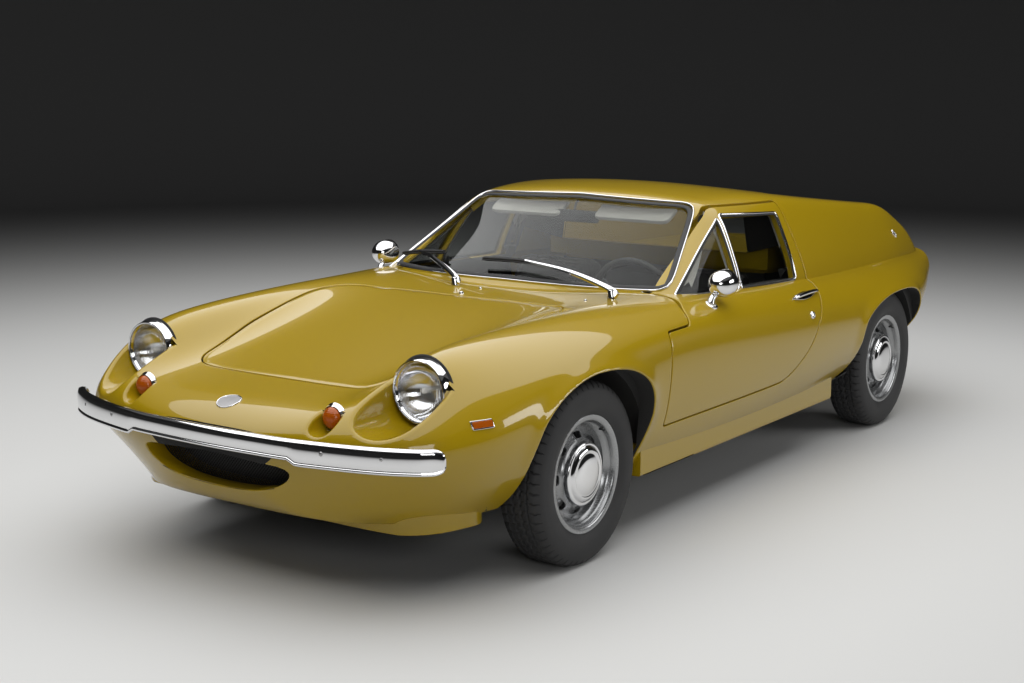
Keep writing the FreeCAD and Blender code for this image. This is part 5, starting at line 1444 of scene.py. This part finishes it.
nose = {"from": at(-555), "blend": 0.085, "lift": 0.0012, "soft": 0.02, "top": 0.48,
        "fade": 0.04, "agree": 0.7}


def toEdge(places):                              # gap to the nearest point of the sill edge
    gaps = np.linalg.norm(places[:, None] - edgeLine[None], axis=2)
    nearest = gaps.argmin(1)
    return gaps[np.arange(len(places)), nearest], nearest


under = skinPart(
    underSkin, (110, 80), [grilleCut], (0, reach(underSkin, at(-560))), flip=-1.0,
    lift=lambda places, directions: nose["lift"] * np.clip(toEdge(places)[0] / nose["soft"], 0, 1))
lay("noseUnder", [under], finishes["paint"], turn=False)


# One smooth shade over the nose: near the sill edge, each normal turns towards the mean of the
# two skins there, by a share that falls from 1 at the edge to 0 at a set distance.
def blendNormals(piece):
    mesh = piece.data
    corners, owner = np.empty((len(mesh.loops), 3)), np.empty(len(mesh.loops), int)
    points = np.empty((len(mesh.vertices), 3))
    mesh.corner_normals.foreach_get("vector", corners.ravel())
    mesh.loops.foreach_get("vertex_index", owner)
    mesh.vertices.foreach_get("co", points.ravel())
    share, target = np.zeros(len(points)), np.zeros((len(points), 3))
    onward = np.flatnonzero((points[:, 0] < nose["from"]) & (points[:, 2] < nose["top"]))
    gap, nearest = toEdge(points[onward])
    part = np.clip(1 - gap / nose["blend"], 0, 1)
    fade = np.clip((nose["from"] - points[onward, 0]) / nose["fade"], 0, 1)
    share[onward] = part * part * (3 - 2 * part) * fade
    target[onward] = edgeNormals[nearest]
    share, target = share[owner][:, None], target[owner]
    share = np.where((corners * target).sum(1)[:, None] > nose["agree"], share, 0)
    mesh.normals_split_custom_set(corners * (1 - share) + target * share)


for name in ("bodyShell", "noseUnder"):
    blendNormals(bpy.data.objects[name])


# Wheels.
# A surface of revolution about Y as a function of (turn, place along its profile).
def revolved(profile, centre, outwardSign):
    profile = np.asarray(profile, float)
    run = runOf(profile)
    run /= run[-1]

    def evaluate(u, v):
        radius, across = (np.interp(v, run, profile[:, k]) for k in (0, 1))
        turn = 2 * math.pi * u
        return np.stack([centre[0] + radius * np.sin(turn), centre[1] + outwardSign * across,
                         centre[2] + radius * np.cos(turn)], 1)
    return evaluate


wheel = {"vents": 8, "vent": [(-.013, .104), (.013, .104), (.019, .126), (-.019, .126)],
         "turns": 144}
# Rim, disc and cap as (radius, across) profiles, across being outwards from the wheel's centre.
rimOuter = [(.144, .008), (.1445, .024), (.1445, .030), (.1455, .0325), (.1560, .0425),
            (.1580, .0440), (.1605, .0500), (.1630, .0590), (.1650, .0625), (.1700, .0645),
            (.1745, .0655), (.1785, .0665), (.1815, .0668), (.1832, .0652), (.1830, .0625),
            (.1810, .0605), (.1720, .0585), (.1700, .0560), (.1650, .0420), (.1500, .0340),
            (.1500, -.0220), (.1650, -.0420), (.1700, -.0580), (.1820, -.0600), (.1822, -.0655),
            (.1750, -.0660), (.1630, -.0600), (.1590, -.0440), (.1440, -.0260)]
discFront = [(.1440, .0135), (.1420, .0140), (.1370, .0142), (.1330, .0150), (.1270, .0162),
             (.1220, .0180), (.1150, .0222), (.1050, .0290), (.0990, .0335), (.0960, .0375),
             (.0930, .0435), (.0905, .0450), (.0870, .0455), (.0850, .0470), (.0820, .0520)]
discBack = [(.1440, .0080), (.1180, .0100), (.0960, .0260), (.0620, .0260), (.0420, .0080)]
capProfile = [(.0862, .0430), (.0868, .0560), (.0862, .0590), (.0845, .0606), (.0820, .0612),
              (.0790, .0612), (.0770, .0622), (.0745, .0650), (.0700, .0682), (.0660, .0700),
              (.0630, .0702), (.0600, .0690), (.0575, .0690), (.0540, .0703), (.0460, .0728),
              (.0360, .0745), (.0240, .0755), (.0120, .0759), (.0, .0760)]


def ventTest(centre):
    outline = rounded(wheel["vent"], .006, 5)
    step = 2 * math.pi / wheel["vents"]

    def value(points):
        radius = np.hypot(points[:, 0] - centre[0], points[:, 2] - centre[2])
        turn = np.arctan2(points[:, 0] - centre[0], points[:, 2] - centre[2])
        turn = (turn + step / 2) % step - step / 2
        flat = np.column_stack([radius * np.sin(turn), radius * np.cos(turn)])
        return -fromOutline(flat, outline) + .0015
    return value


def smoothProfile(points, count=4):
    return smoothPath(np.asarray(points, float), count)


# Tread: zig-zag grooves round the middle and cuts across both shoulders, as a depth below the
# tyre's own form. turn runs 0..1 round it and across is metres from its middle.
tread = {"blocks": 56, "groove": .0060, "cut": .0055, "swing": .0022,
         "lines": (-.036, -.013, .013, .036)}


def treadDepth(turn, across):
    zig = np.abs((turn * tread["blocks"]) % 1 - .5) * 4 - 1
    depth = np.zeros(len(turn))
    for number, line in enumerate(tread["lines"]):
        gap = abs(across - line - tread["swing"] * zig * (-1) ** number)
        depth = np.maximum(depth, tread["groove"] * np.clip((.0030 - gap) / .0012, 0, 1))
    phase = (turn * tread["blocks"] + np.sign(across) * .25 + abs(across) * 6) % 1
    slit = np.clip((.095 - abs(phase - .5)) / .03, 0, 1)
    shoulder = np.clip((abs(across) - .041) / .003, 0, 1) * np.clip((.073 - abs(across)) / .008,
                                                                    0, 1)
    inner = np.clip((.033 - abs(across)) / .003, 0, 1) * .6
    return np.maximum(depth, tread["cut"] * slit * np.maximum(shoulder, inner))


tyreHalf = [(.1705, .0575), (.1824, .0595), (.1840, .0660), (.1880, .0672), (.1960, .0712),
            (.1990, .0732), (.2010, .0736), (.2050, .0748), (.2170, .0768), (.2280, .0775),
            (.2400, .0768), (.2480, .0752), (.2505, .0756), (.2530, .0750), (.2560, .0738),
            (.2660, .0692), (.2730, .0640), (.2785, .0580), (.2818, .0500), (.2835, .0400),
            (.2840, .0250), (.2840, .0120)]


def tyreSurface(centre, outwardSign, turns=448, columns=56):
    outer = smoothProfile(tyreHalf, 6)
    profile = np.concatenate([outer, (outer * [1, -1])[::-1]])
    run = runOf(profile)
    weight = run + np.cumsum(
        np.concatenate([[0], np.linalg.norm(np.diff(profile, axis=0), axis=1)
                        * (profile[1:, 0] > .270) * 1.4]))
    places = np.interp(np.linspace(0, weight[-1], columns), weight, run)
    radius, across = (np.interp(places, run, profile[:, k]) for k in (0, 1))
    turn, column = np.meshgrid(np.arange(turns) / turns, np.arange(columns), indexing="ij")
    sink = treadDepth(turn.ravel(), across[column.ravel()])
    sink *= np.clip((radius[column.ravel()] - .262) / .008, 0, 1)
    r = radius[column.ravel()] - sink
    angle = 2 * math.pi * turn.ravel()
    points = np.stack([centre[0] + r * np.sin(angle), centre[1] + outwardSign
                       * across[column.ravel()], centre[2] + r * np.cos(angle)], 1)
    index = np.arange(turns * columns).reshape(turns, columns)
    return points, cellFaces(index, np.roll(index, -1, 0))


def closedLoop(profile, centre, outwardSign, count):
    return turned(profile, centre, (0, outwardSign, 0), count, closed=True)


for place, x in (("front", axleAt), ("rear", axleAt + wheelbase)):
    for name, sign in sides.items():
        corner, centre = place + "_" + name, np.array([x, sign * .673, .284])
        vents = {"test": ventTest(centre), "roll": .0015, "depth": .0075}
        front, frontFaces, *_ = cutPanel(revolved(discFront, centre, sign), (289, 28), [vents])
        back, backFaces, *_ = cutPanel(revolved(discBack, centre, sign), (145, 10),
                                       [{"test": ventTest(centre)}])
        rim = closedLoop(rimOuter, centre, sign, wheel["turns"])
        hub = turned([(.042, .008), (.031, .008), (.031, .030), (.058, .034), (.060, .044)],
                     centre, (0, sign, 0), 48)
        valve = turned([(0, .018), (.0026, .017), (.0026, .004), (.0042, 0), (.0042, -.008)],
                       centre + np.array([.105, sign * .046, .118]),
                       (-.10, sign, -.12), 12)
        lay("wheelDisc." + corner, [(front, frontFaces), (back, backFaces), rim, hub, (*valve, 1)],
            [finishes["silver"], finishes["rubber"]], "wheel_" + corner,
            ["wheel_" + corner])
        cap = smoothProfile(np.array(capProfile) * [1.12, 1], 2)
        lay("wheelCap." + corner, [turned(cap, centre, (0, sign, 0), 96)],
            finishes["chrome"], "wheel_" + corner)
        lay("tyreTread." + corner, [tyreSurface(centre, sign)], finishes["tyre"],
            "wheel_" + corner, ["tyre_" + corner], smoothAngle=32)
print("wheels")


# Cabin.
# A seat starts as a slightly smaller prism of its side outline; air pressure in a cloth
# simulation crowns it, and sewn channels are pressed in afterwards.
seat = {"side": .330, "half": .192, "voxel": .014, "pressure": 4.0, "frames": 20, "cap": .024,
        "channel": .009}
seatOutline = rounded(metres([
    (912, 258), (903, 326), (942, 360), (1182, 306), (1268, 362), (1424, 704), (1452, 744),
    (1508, 734), (1525, 690), (1392, 386), (1322, 258)]), .035)


def seatPad():
    y = np.linspace(-seat["half"], seat["half"], 12)
    path = np.column_stack([np.zeros(12), y, np.zeros(12)])
    side, up = alike((1, 0, 0), 12), alike((0, 0, 1), 12)
    edge = np.clip((seat["half"] - abs(y)) / .03, 0, 1)
    middle = seatOutline.mean(0)
    sections = middle + (seatOutline - middle) * (.955 + .045 * np.sqrt(edge))[:, None, None]
    points, faces = carried(path, side, up, sections)
    return welded(points, outwards(points, faces))


def pressed(piece):                              # runs the cloth on a remeshed copy, and applies it
    bpy.context.view_layer.objects.active = piece
    piece.select_set(True)
    piece.data.remesh_voxel_size = seat["voxel"]
    bpy.ops.object.voxel_remesh()
    start = np.empty(len(piece.data.vertices) * 3)
    piece.data.vertices.foreach_get("co", start)
    cloth = piece.modifiers.new("pressure", "CLOTH")
    cloth.settings.use_pressure = True
    cloth.settings.uniform_pressure_force = seat["pressure"]
    cloth.settings.effector_weights.gravity = 0
    cloth.settings.quality = 5
    cloth.point_cache.frame_start, cloth.point_cache.frame_end = 1, seat["frames"]
    for frameNumber in range(1, seat["frames"] + 1):
        scene.frame_set(frameNumber)
    shaped = piece.evaluated_get(bpy.context.evaluated_depsgraph_get()).to_mesh()
    moved = np.empty(len(start))
    shaped.vertices.foreach_get("co", moved)
    piece.modifiers.remove(cloth)
    scene.frame_set(1)
    step = (moved - start).reshape(-1, 3)
    length = np.linalg.norm(step, axis=1)[:, None]
    step *= np.minimum(1, seat["cap"] / np.maximum(length, 1e-9))
    start = (start.reshape(-1, 3) + step).ravel()
    points = start.reshape(-1, 3)
    piece.data.vertices.foreach_set("co", points.ravel())
    piece.data.update()
    return points


def channels(points):                            # depth of the sewn lines at each point
    x, y, z = points[:, 0] - axleAt, points[:, 1], points[:, 2]
    onBack = (z > .37) & (x > 1.20)
    climb = np.where(onBack, np.hypot(x - 1.268, z - .362), np.inf)
    depth = np.zeros(len(points))
    for line in (.07, .13, .19, .25, .31):
        depth = np.maximum(depth, np.exp(-((climb - line) / .007) ** 2) * (abs(y) < .135))
    onSeat = (x > .94) & (x < 1.25) & (z > .27)
    for line in (1.00, 1.06, 1.12, 1.18):
        depth = np.maximum(depth, onSeat * np.exp(-((x - line) / .007) ** 2) * (abs(y) < .135))
    border = np.exp(-((abs(y) - .142) / .006) ** 2)
    return np.maximum(depth, border * (onSeat | (onBack & (climb < .40))))


points, faces = seatPad()
pad = meshObject("seatPadStart", points, faces, finishes["vinyl"])
points = pressed(pad)
normals = np.empty(len(points) * 3)
pad.data.vertices.foreach_get("normal", normals)
normals = normals.reshape(-1, 3)
facing = np.clip((normals @ np.array([-.5, 0, .85]) - .2) / .4, 0, 1)
points = points - normals * (channels(points) * facing * seat["channel"])[:, None]
pad.data.calc_loop_triangles()
corners = np.empty(len(pad.data.loop_triangles) * 3, np.int32)
pad.data.loop_triangles.foreach_get("vertices", corners)
padFaces = corners.reshape(-1, 3)
bpy.data.objects.remove(pad)
for name, sign in sides.items():
    placed = points * [1, sign, 1] + [0, sign * seat["side"], 0]
    faces = padFaces if sign > 0 else padFaces[:, ::-1]
    piece = meshObject("seatPad." + name, placed, faces, finishes["vinyl"])
    smoothing = piece.modifiers.new("smoothing", "SUBSURF")
    smoothing.levels = smoothing.render_levels = 1
    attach(piece, "root")
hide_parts("seats")
print("seats", len(padFaces))

# Seat runners: two rails under each seat.
runners = []
for sign in sides.values():
    for offset in (-.15, .15):
        y = sign * seat["side"] + offset
        path = np.linspace([at(920), y, .2465], [at(1330), y, .2465], 20)
        _, side, up = pathFrame(path, (0, 0, 1))
        runners.append(carried(path, side, up, [(-.011, -.006), (.011, -.006), (.011, .001),
                                                (.006, .006), (-.006, .006), (-.011, .001)]))
lay("seatRunners", runners, finishes["steel"])

# Dashboard: a padded roll over a veneered face with dials and switches.
dash = {"half": .612, "faceX": at(826)}
dashOutline = rounded(metres([(600, 590), (600, 728), (680, 727), (800, 703), (838, 676),
                              (834, 660), (823, 655), (818, 575), (760, 562)]), .016)
y = np.linspace(-dash["half"], dash["half"], 40)
path = np.column_stack([np.zeros(40), y, np.zeros(40)])
edge = np.clip((dash["half"] - abs(y)) / .02, 0, 1)
middle = dashOutline.mean(0)
sections = middle + (dashOutline - middle) * (.90 + .10 * np.sqrt(edge))[:, None, None]
padRoll = carried(path, alike((1, 0, 0), 40), alike((0, 0, 1), 40), sections)
facePath = np.column_stack([np.full(30, dash["faceX"] - .004), np.linspace(-.585, .585, 30),
                            np.full(30, .617)])
plate = carried(facePath, alike((1, 0, 0), 30), alike((.14, 0, 1), 30),
                rounded([(0, -.034), (.006, -.034), (.006, .034), (0, .034)], .002))
dials = [(-.405, .620, .036), (-.265, .620, .036), (-.165, .622, .023), (-.095, .622, .023),
         (-.025, .622, .023), (.045, .622, .023)]
dialParts = []
for dialSide, dialHeight, radius in dials:
    here = (dash["faceX"] + .002, dialSide, dialHeight)
    dialParts.append((*turned([(radius, -.002), (radius, .004), (radius - .0015, .006),
                               (radius - .004, .0055), (radius - .0045, .002)], here,
                              (1, 0, 0), 40), 0))
    dialParts.append((*turned([(radius - .003, .002), (0, .002)], here, (1, 0, 0), 32), 1))
    for number in range(9):
        lean = math.radians(225 - number * 33.75)
        out = np.array([0, math.cos(lean), math.sin(lean)])
        start = np.array(here) + [.0026, 0, 0] + out * radius * .68
        end = np.array(here) + [.0026, 0, 0] + out * radius * .84
        dialParts.append((*tube(np.linspace(start, end, 2), .0007, 4, (1, 0, 0)), 2))
    lean = math.radians(205)
    out = np.array([0, math.cos(lean), math.sin(lean)])
    dialParts.append((*tube(np.linspace(np.array(here) + [.0034, 0, 0],
                                        np.array(here) + [.0034, 0, 0] + out * radius * .75, 2),
                            .0008, 4, (1, 0, 0)), 2))
for number in range(5):
    here = (dash["faceX"] + .002, .125 + number * .045, .617)
    dialParts.append((*turned([(0, .014), (.006, .013), (.008, .009), (.0055, .004), (.009, .001),
                               (.009, -.001)], here, (1, 0, 0), 18), 0))
lay("dashboardRoll", [padRoll, (*plate, 1)], [finishes["trimBlack"], finishes["wood"]],
    replaces=["dashboard"])
lay("dashDials", dialParts, [finishes["chrome"], finishes["dial"], finishes["mark"]])

# Steering wheel: a thick grip, three spokes, a hub pad and its column.
steering = {"centre": np.array([at(985), -.330, .640]), "ring": .175, "grip": .0130}
toDash = np.array([-math.cos(math.radians(20)), 0, -math.sin(math.radians(20))])
wheelUp = np.array([-toDash[2], 0, toDash[0]]) * -1
wheelSide = np.cross(toDash, wheelUp)
turn = np.linspace(0, 2 * math.pi, 96, endpoint=False)
ringPath = (steering["centre"] + steering["ring"] * (np.cos(turn)[:, None] * wheelSide
                                                      + np.sin(turn)[:, None] * wheelUp))
grip = steering["grip"] * (1 - .06 * np.cos(turn * 24) ** 8)
gripRing = tube(ringPath, grip, 14, toDash, closed=True)
spokeParts = []
for lean in (90, 210, 330):
    out = (math.cos(math.radians(lean + 180)) * wheelSide
           + math.sin(math.radians(lean + 180)) * wheelUp)
    path = steering["centre"] + np.linspace(.022, .168, 16)[:, None] * out
    path = path + toDash * (.016 * (1 - np.linspace(0, 1, 16)) ** .8)[:, None]
    _, side, up = pathFrame(path, -toDash)
    width = .013 + .006 * np.cos(np.linspace(0, 2 * math.pi, 16))
    section = np.array([(-1, 0), (-1, .0014), (1, .0014), (1, 0)])
    shaped = section[None] * np.stack([width, np.ones(16)], 1)[:, None]
    spokeParts.append((*carried(path, side, up, shaped), 1))
hubPad = turned([(0, -.012), (.014, -.0115), (.028, -.009), (.034, -.003), (.035, .010),
                 (.030, .022), (0, .022)], steering["centre"], toDash, 48)
columnPart = turned([(0, .01), (.012, .01), (.012, .06), (.020, .064), (.020, .180),
                     (.012, .184), (.012, .222), (0, .222)], steering["centre"], toDash, 32)
lay("steeringWheel", [gripRing, *spokeParts, hubPad, (*columnPart, 2)],
    [finishes["trimBlack"], finishes["steel"], finishes["black"]], "steering_wheel",
    ["steering_wheel"])

# Interior mirror, sun visors, and a gear lever with its gaiter.
mirrorAt = np.array([at(1105), .02, .930])
mirrorBack = rounded([(-.105, -.022), (.105, -.022), (.105, .022), (-.105, .022)], .014, 6)
depth = np.array([0, .004, .012, .018, .020])
scale = np.array([1, 1.03, 1.0, .85, .6])
path = mirrorAt + np.outer(depth, [-1, 0, .12])
sections = mirrorBack[None] * scale[:, None, None]
mirrorBody = carried(path, alike((0, 1, 0), 5), alike((.12, 0, 1), 5), sections)
stalk = tube(smoothPath([mirrorAt + [-.010, 0, .015], mirrorAt + [.005, 0, .050],
                         [at(1150), .02, .992]], 6), .005, 10, (0, 1, 0))
visors = []
for sign in sides.values():
    slab = rounded([(-.16, -.055), (.16, -.055), (.16, .055), (-.16, .055)], .03, 6)
    thick = np.array([-.009, -.007, 0, .007, .009])
    inset = np.array([.90, .98, 1, .98, .90])
    path = np.array([at(1120), sign * .235, .958]) + np.outer(thick, [-.50, 0, .86])
    visors.append(carried(path, alike((0, 1, 0), 5), alike((.86, 0, .50), 5),
                          slab[None] * inset[:, None, None]))
lay("cabinMirror", [mirrorBody, stalk], [finishes["black"]])
lay("sunVisors", visors, finishes["lining"])
lever = tube(smoothPath([(at(1030), 0, .440), (at(1022), -.01, .500), (at(1040), -.018, .560)],
                        8), .0055, 12, (0, 1, 0))
knob = turned([(0, .030), (.010, .028), (.017, .020), (.0185, .010), (.014, 0), (.007, -.006)],
              (at(1040), -.018, .556), (.12, 0, 1), 28)
gaiter = turned([(.006, .070), (.014, .060), (.012, .052), (.024, .040), (.021, .032),
                 (.038, .020), (.036, .012), (.055, .004), (.060, -.004)],
                (at(1030), 0, .448), (0, 0, 1), 32)
lay("gearLever", [lever, (*knob, 1), (*gaiter, 1)], [finishes["chrome"], finishes["trimBlack"]])
print("cabin")


# Stage, light and camera.
# The floor tone is painted light round the car; the wall tone is the painted shade it fades to.
stage = {"floor": (0.62, 0.62, 0.61), "wall": (0.10, 0.10, 0.10), "reach": 14.0, "sky": 0.10}


# The sweep is painted pale round the car and darkens with the distance from its middle: a painted
# pool of light that fades to painted shade.
def makeStage():
    floor = finish("studioSweepPaintedPool", stage["floor"], 0.6, amount=0.0, specular=0.2)
    nodes, links = floor.node_tree.nodes, floor.node_tree.links
    place, length, fade, mix = (nodes.new(kind) for kind in (
        "ShaderNodeTexCoord", "ShaderNodeVectorMath", "ShaderNodeMapRange", "ShaderNodeMix"))
    length.operation = "LENGTH"
    fade.interpolation_type = "SMOOTHSTEP"
    fade.inputs["From Min"].default_value = 3.0
    fade.inputs["From Max"].default_value = 11.0
    # Painted light: the mix runs from the floor tone near the middle to painted shade in the wall
    # tone far out.
    mix.data_type = "RGBA"
    mix.inputs["A"].default_value = (*stage["floor"], 1)
    mix.inputs["B"].default_value = (*stage["wall"], 1)
    links.new(place.outputs["Object"], length.inputs[0])
    links.new(length.outputs["Value"], fade.inputs["Value"])
    links.new(fade.outputs["Result"], mix.inputs["Factor"])
    links.new(mix.outputs["Result"], nodes["Principled BSDF"].inputs["Base Color"])
    reach = stage["reach"]
    angles = np.linspace(0, math.pi / 2, 24)
    profile = np.concatenate([[[0.0, 0.0], [reach - 3, 0]],
                              np.stack([reach - 3 + 3 * np.sin(angles), 3 - 3 * np.cos(angles)], 1),
                              [[reach, 9.0]]])
    points, faces = turned(profile, (0, 0, 0), (0, 0, 1), 96)
    piece = meshObject("studioSweep", points, faces[:, ::-1], floor)


def lightPanel(name, place, target, size, power):
    light = bpy.data.lights.new(name, "AREA")
    light.shape = "RECTANGLE"
    light.size, light.size_y = size
    light.energy = power
    lamp = bpy.data.objects.new(name, light)
    scene.collection.objects.link(lamp)
    direction = Vector(target) - Vector(place)
    lamp.rotation_euler = direction.to_track_quat("-Z", "Y").to_euler()
    lamp.location = place


makeStage()
world = bpy.data.worlds.new("studio")
scene.world = world
world.use_nodes = True
world.node_tree.nodes["Background"].inputs["Color"].default_value = (1, 1, 1, 1)
world.node_tree.nodes["Background"].inputs["Strength"].default_value = stage["sky"]
lightPanel("overhead", (-0.9, 0.4, 4.2), (-0.9, 0.4, 0), (9.0, 7.5), 430)
lightPanel("frontLeft", (-6.0, -5.5, 2.6), (-0.4, 0, 0.4), (3.0, 1.6), 70)
lightPanel("rearLeft", (4.0, -6.5, 2.4), (0.4, 0, 0.4), (4.0, 1.6), 120)

# The camera stands ahead and to the left, and looks down a little.
camera = bpy.data.cameras.new("camera")
camera.sensor_width = 36
camera.lens = 36 * 1608 / 1024
cameraObject = bpy.data.objects.new("camera", camera)
scene.collection.objects.link(cameraObject)
yaw, pitch, roll = math.radians(34.96), math.radians(-10.18), math.radians(0.17)
view = Vector((math.cos(pitch) * math.cos(yaw), math.cos(pitch) * math.sin(yaw), math.sin(pitch)))
right = view.cross(Vector((0, 0, 1))).normalized()
above = right.cross(view)
right, above = (math.cos(roll) * right + math.sin(roll) * above,
                math.cos(roll) * above - math.sin(roll) * right)
cameraObject.matrix_world = Matrix((
    (right.x, above.x, -view.x, -5.115), (right.y, above.y, -view.y, -3.249),
    (right.z, above.z, -view.z, 1.536), (0, 0, 0, 1)))
scene.camera = cameraObject
scene.view_settings.view_transform = "Standard"

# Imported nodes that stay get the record's finishes in full.
keptFinishes = {
    "chrome": "chrome", "glass": "windowGlass", "grille_black": "black", "lens_clear": "lensGlass",
    "lens_amber": "amber", "lens_red": "red", "wheel_silver": "silver", "tyre": "tyre",
    "steel_black": "black", "steel": "steel", "iron": "iron", "vinyl": "vinyl",
    "dash": "trimBlack", "floor": "underseal", "paint": "paint"}
for part in frame["record"]["subparts"]:
    packed = frame["nodes"][part["node"]]
    for slotNumber in range(len(packed.material_slots)):
        packed.material_slots[slotNumber].material = finishes[keptFinishes[part["material_slot"]]]

print("scene ready")
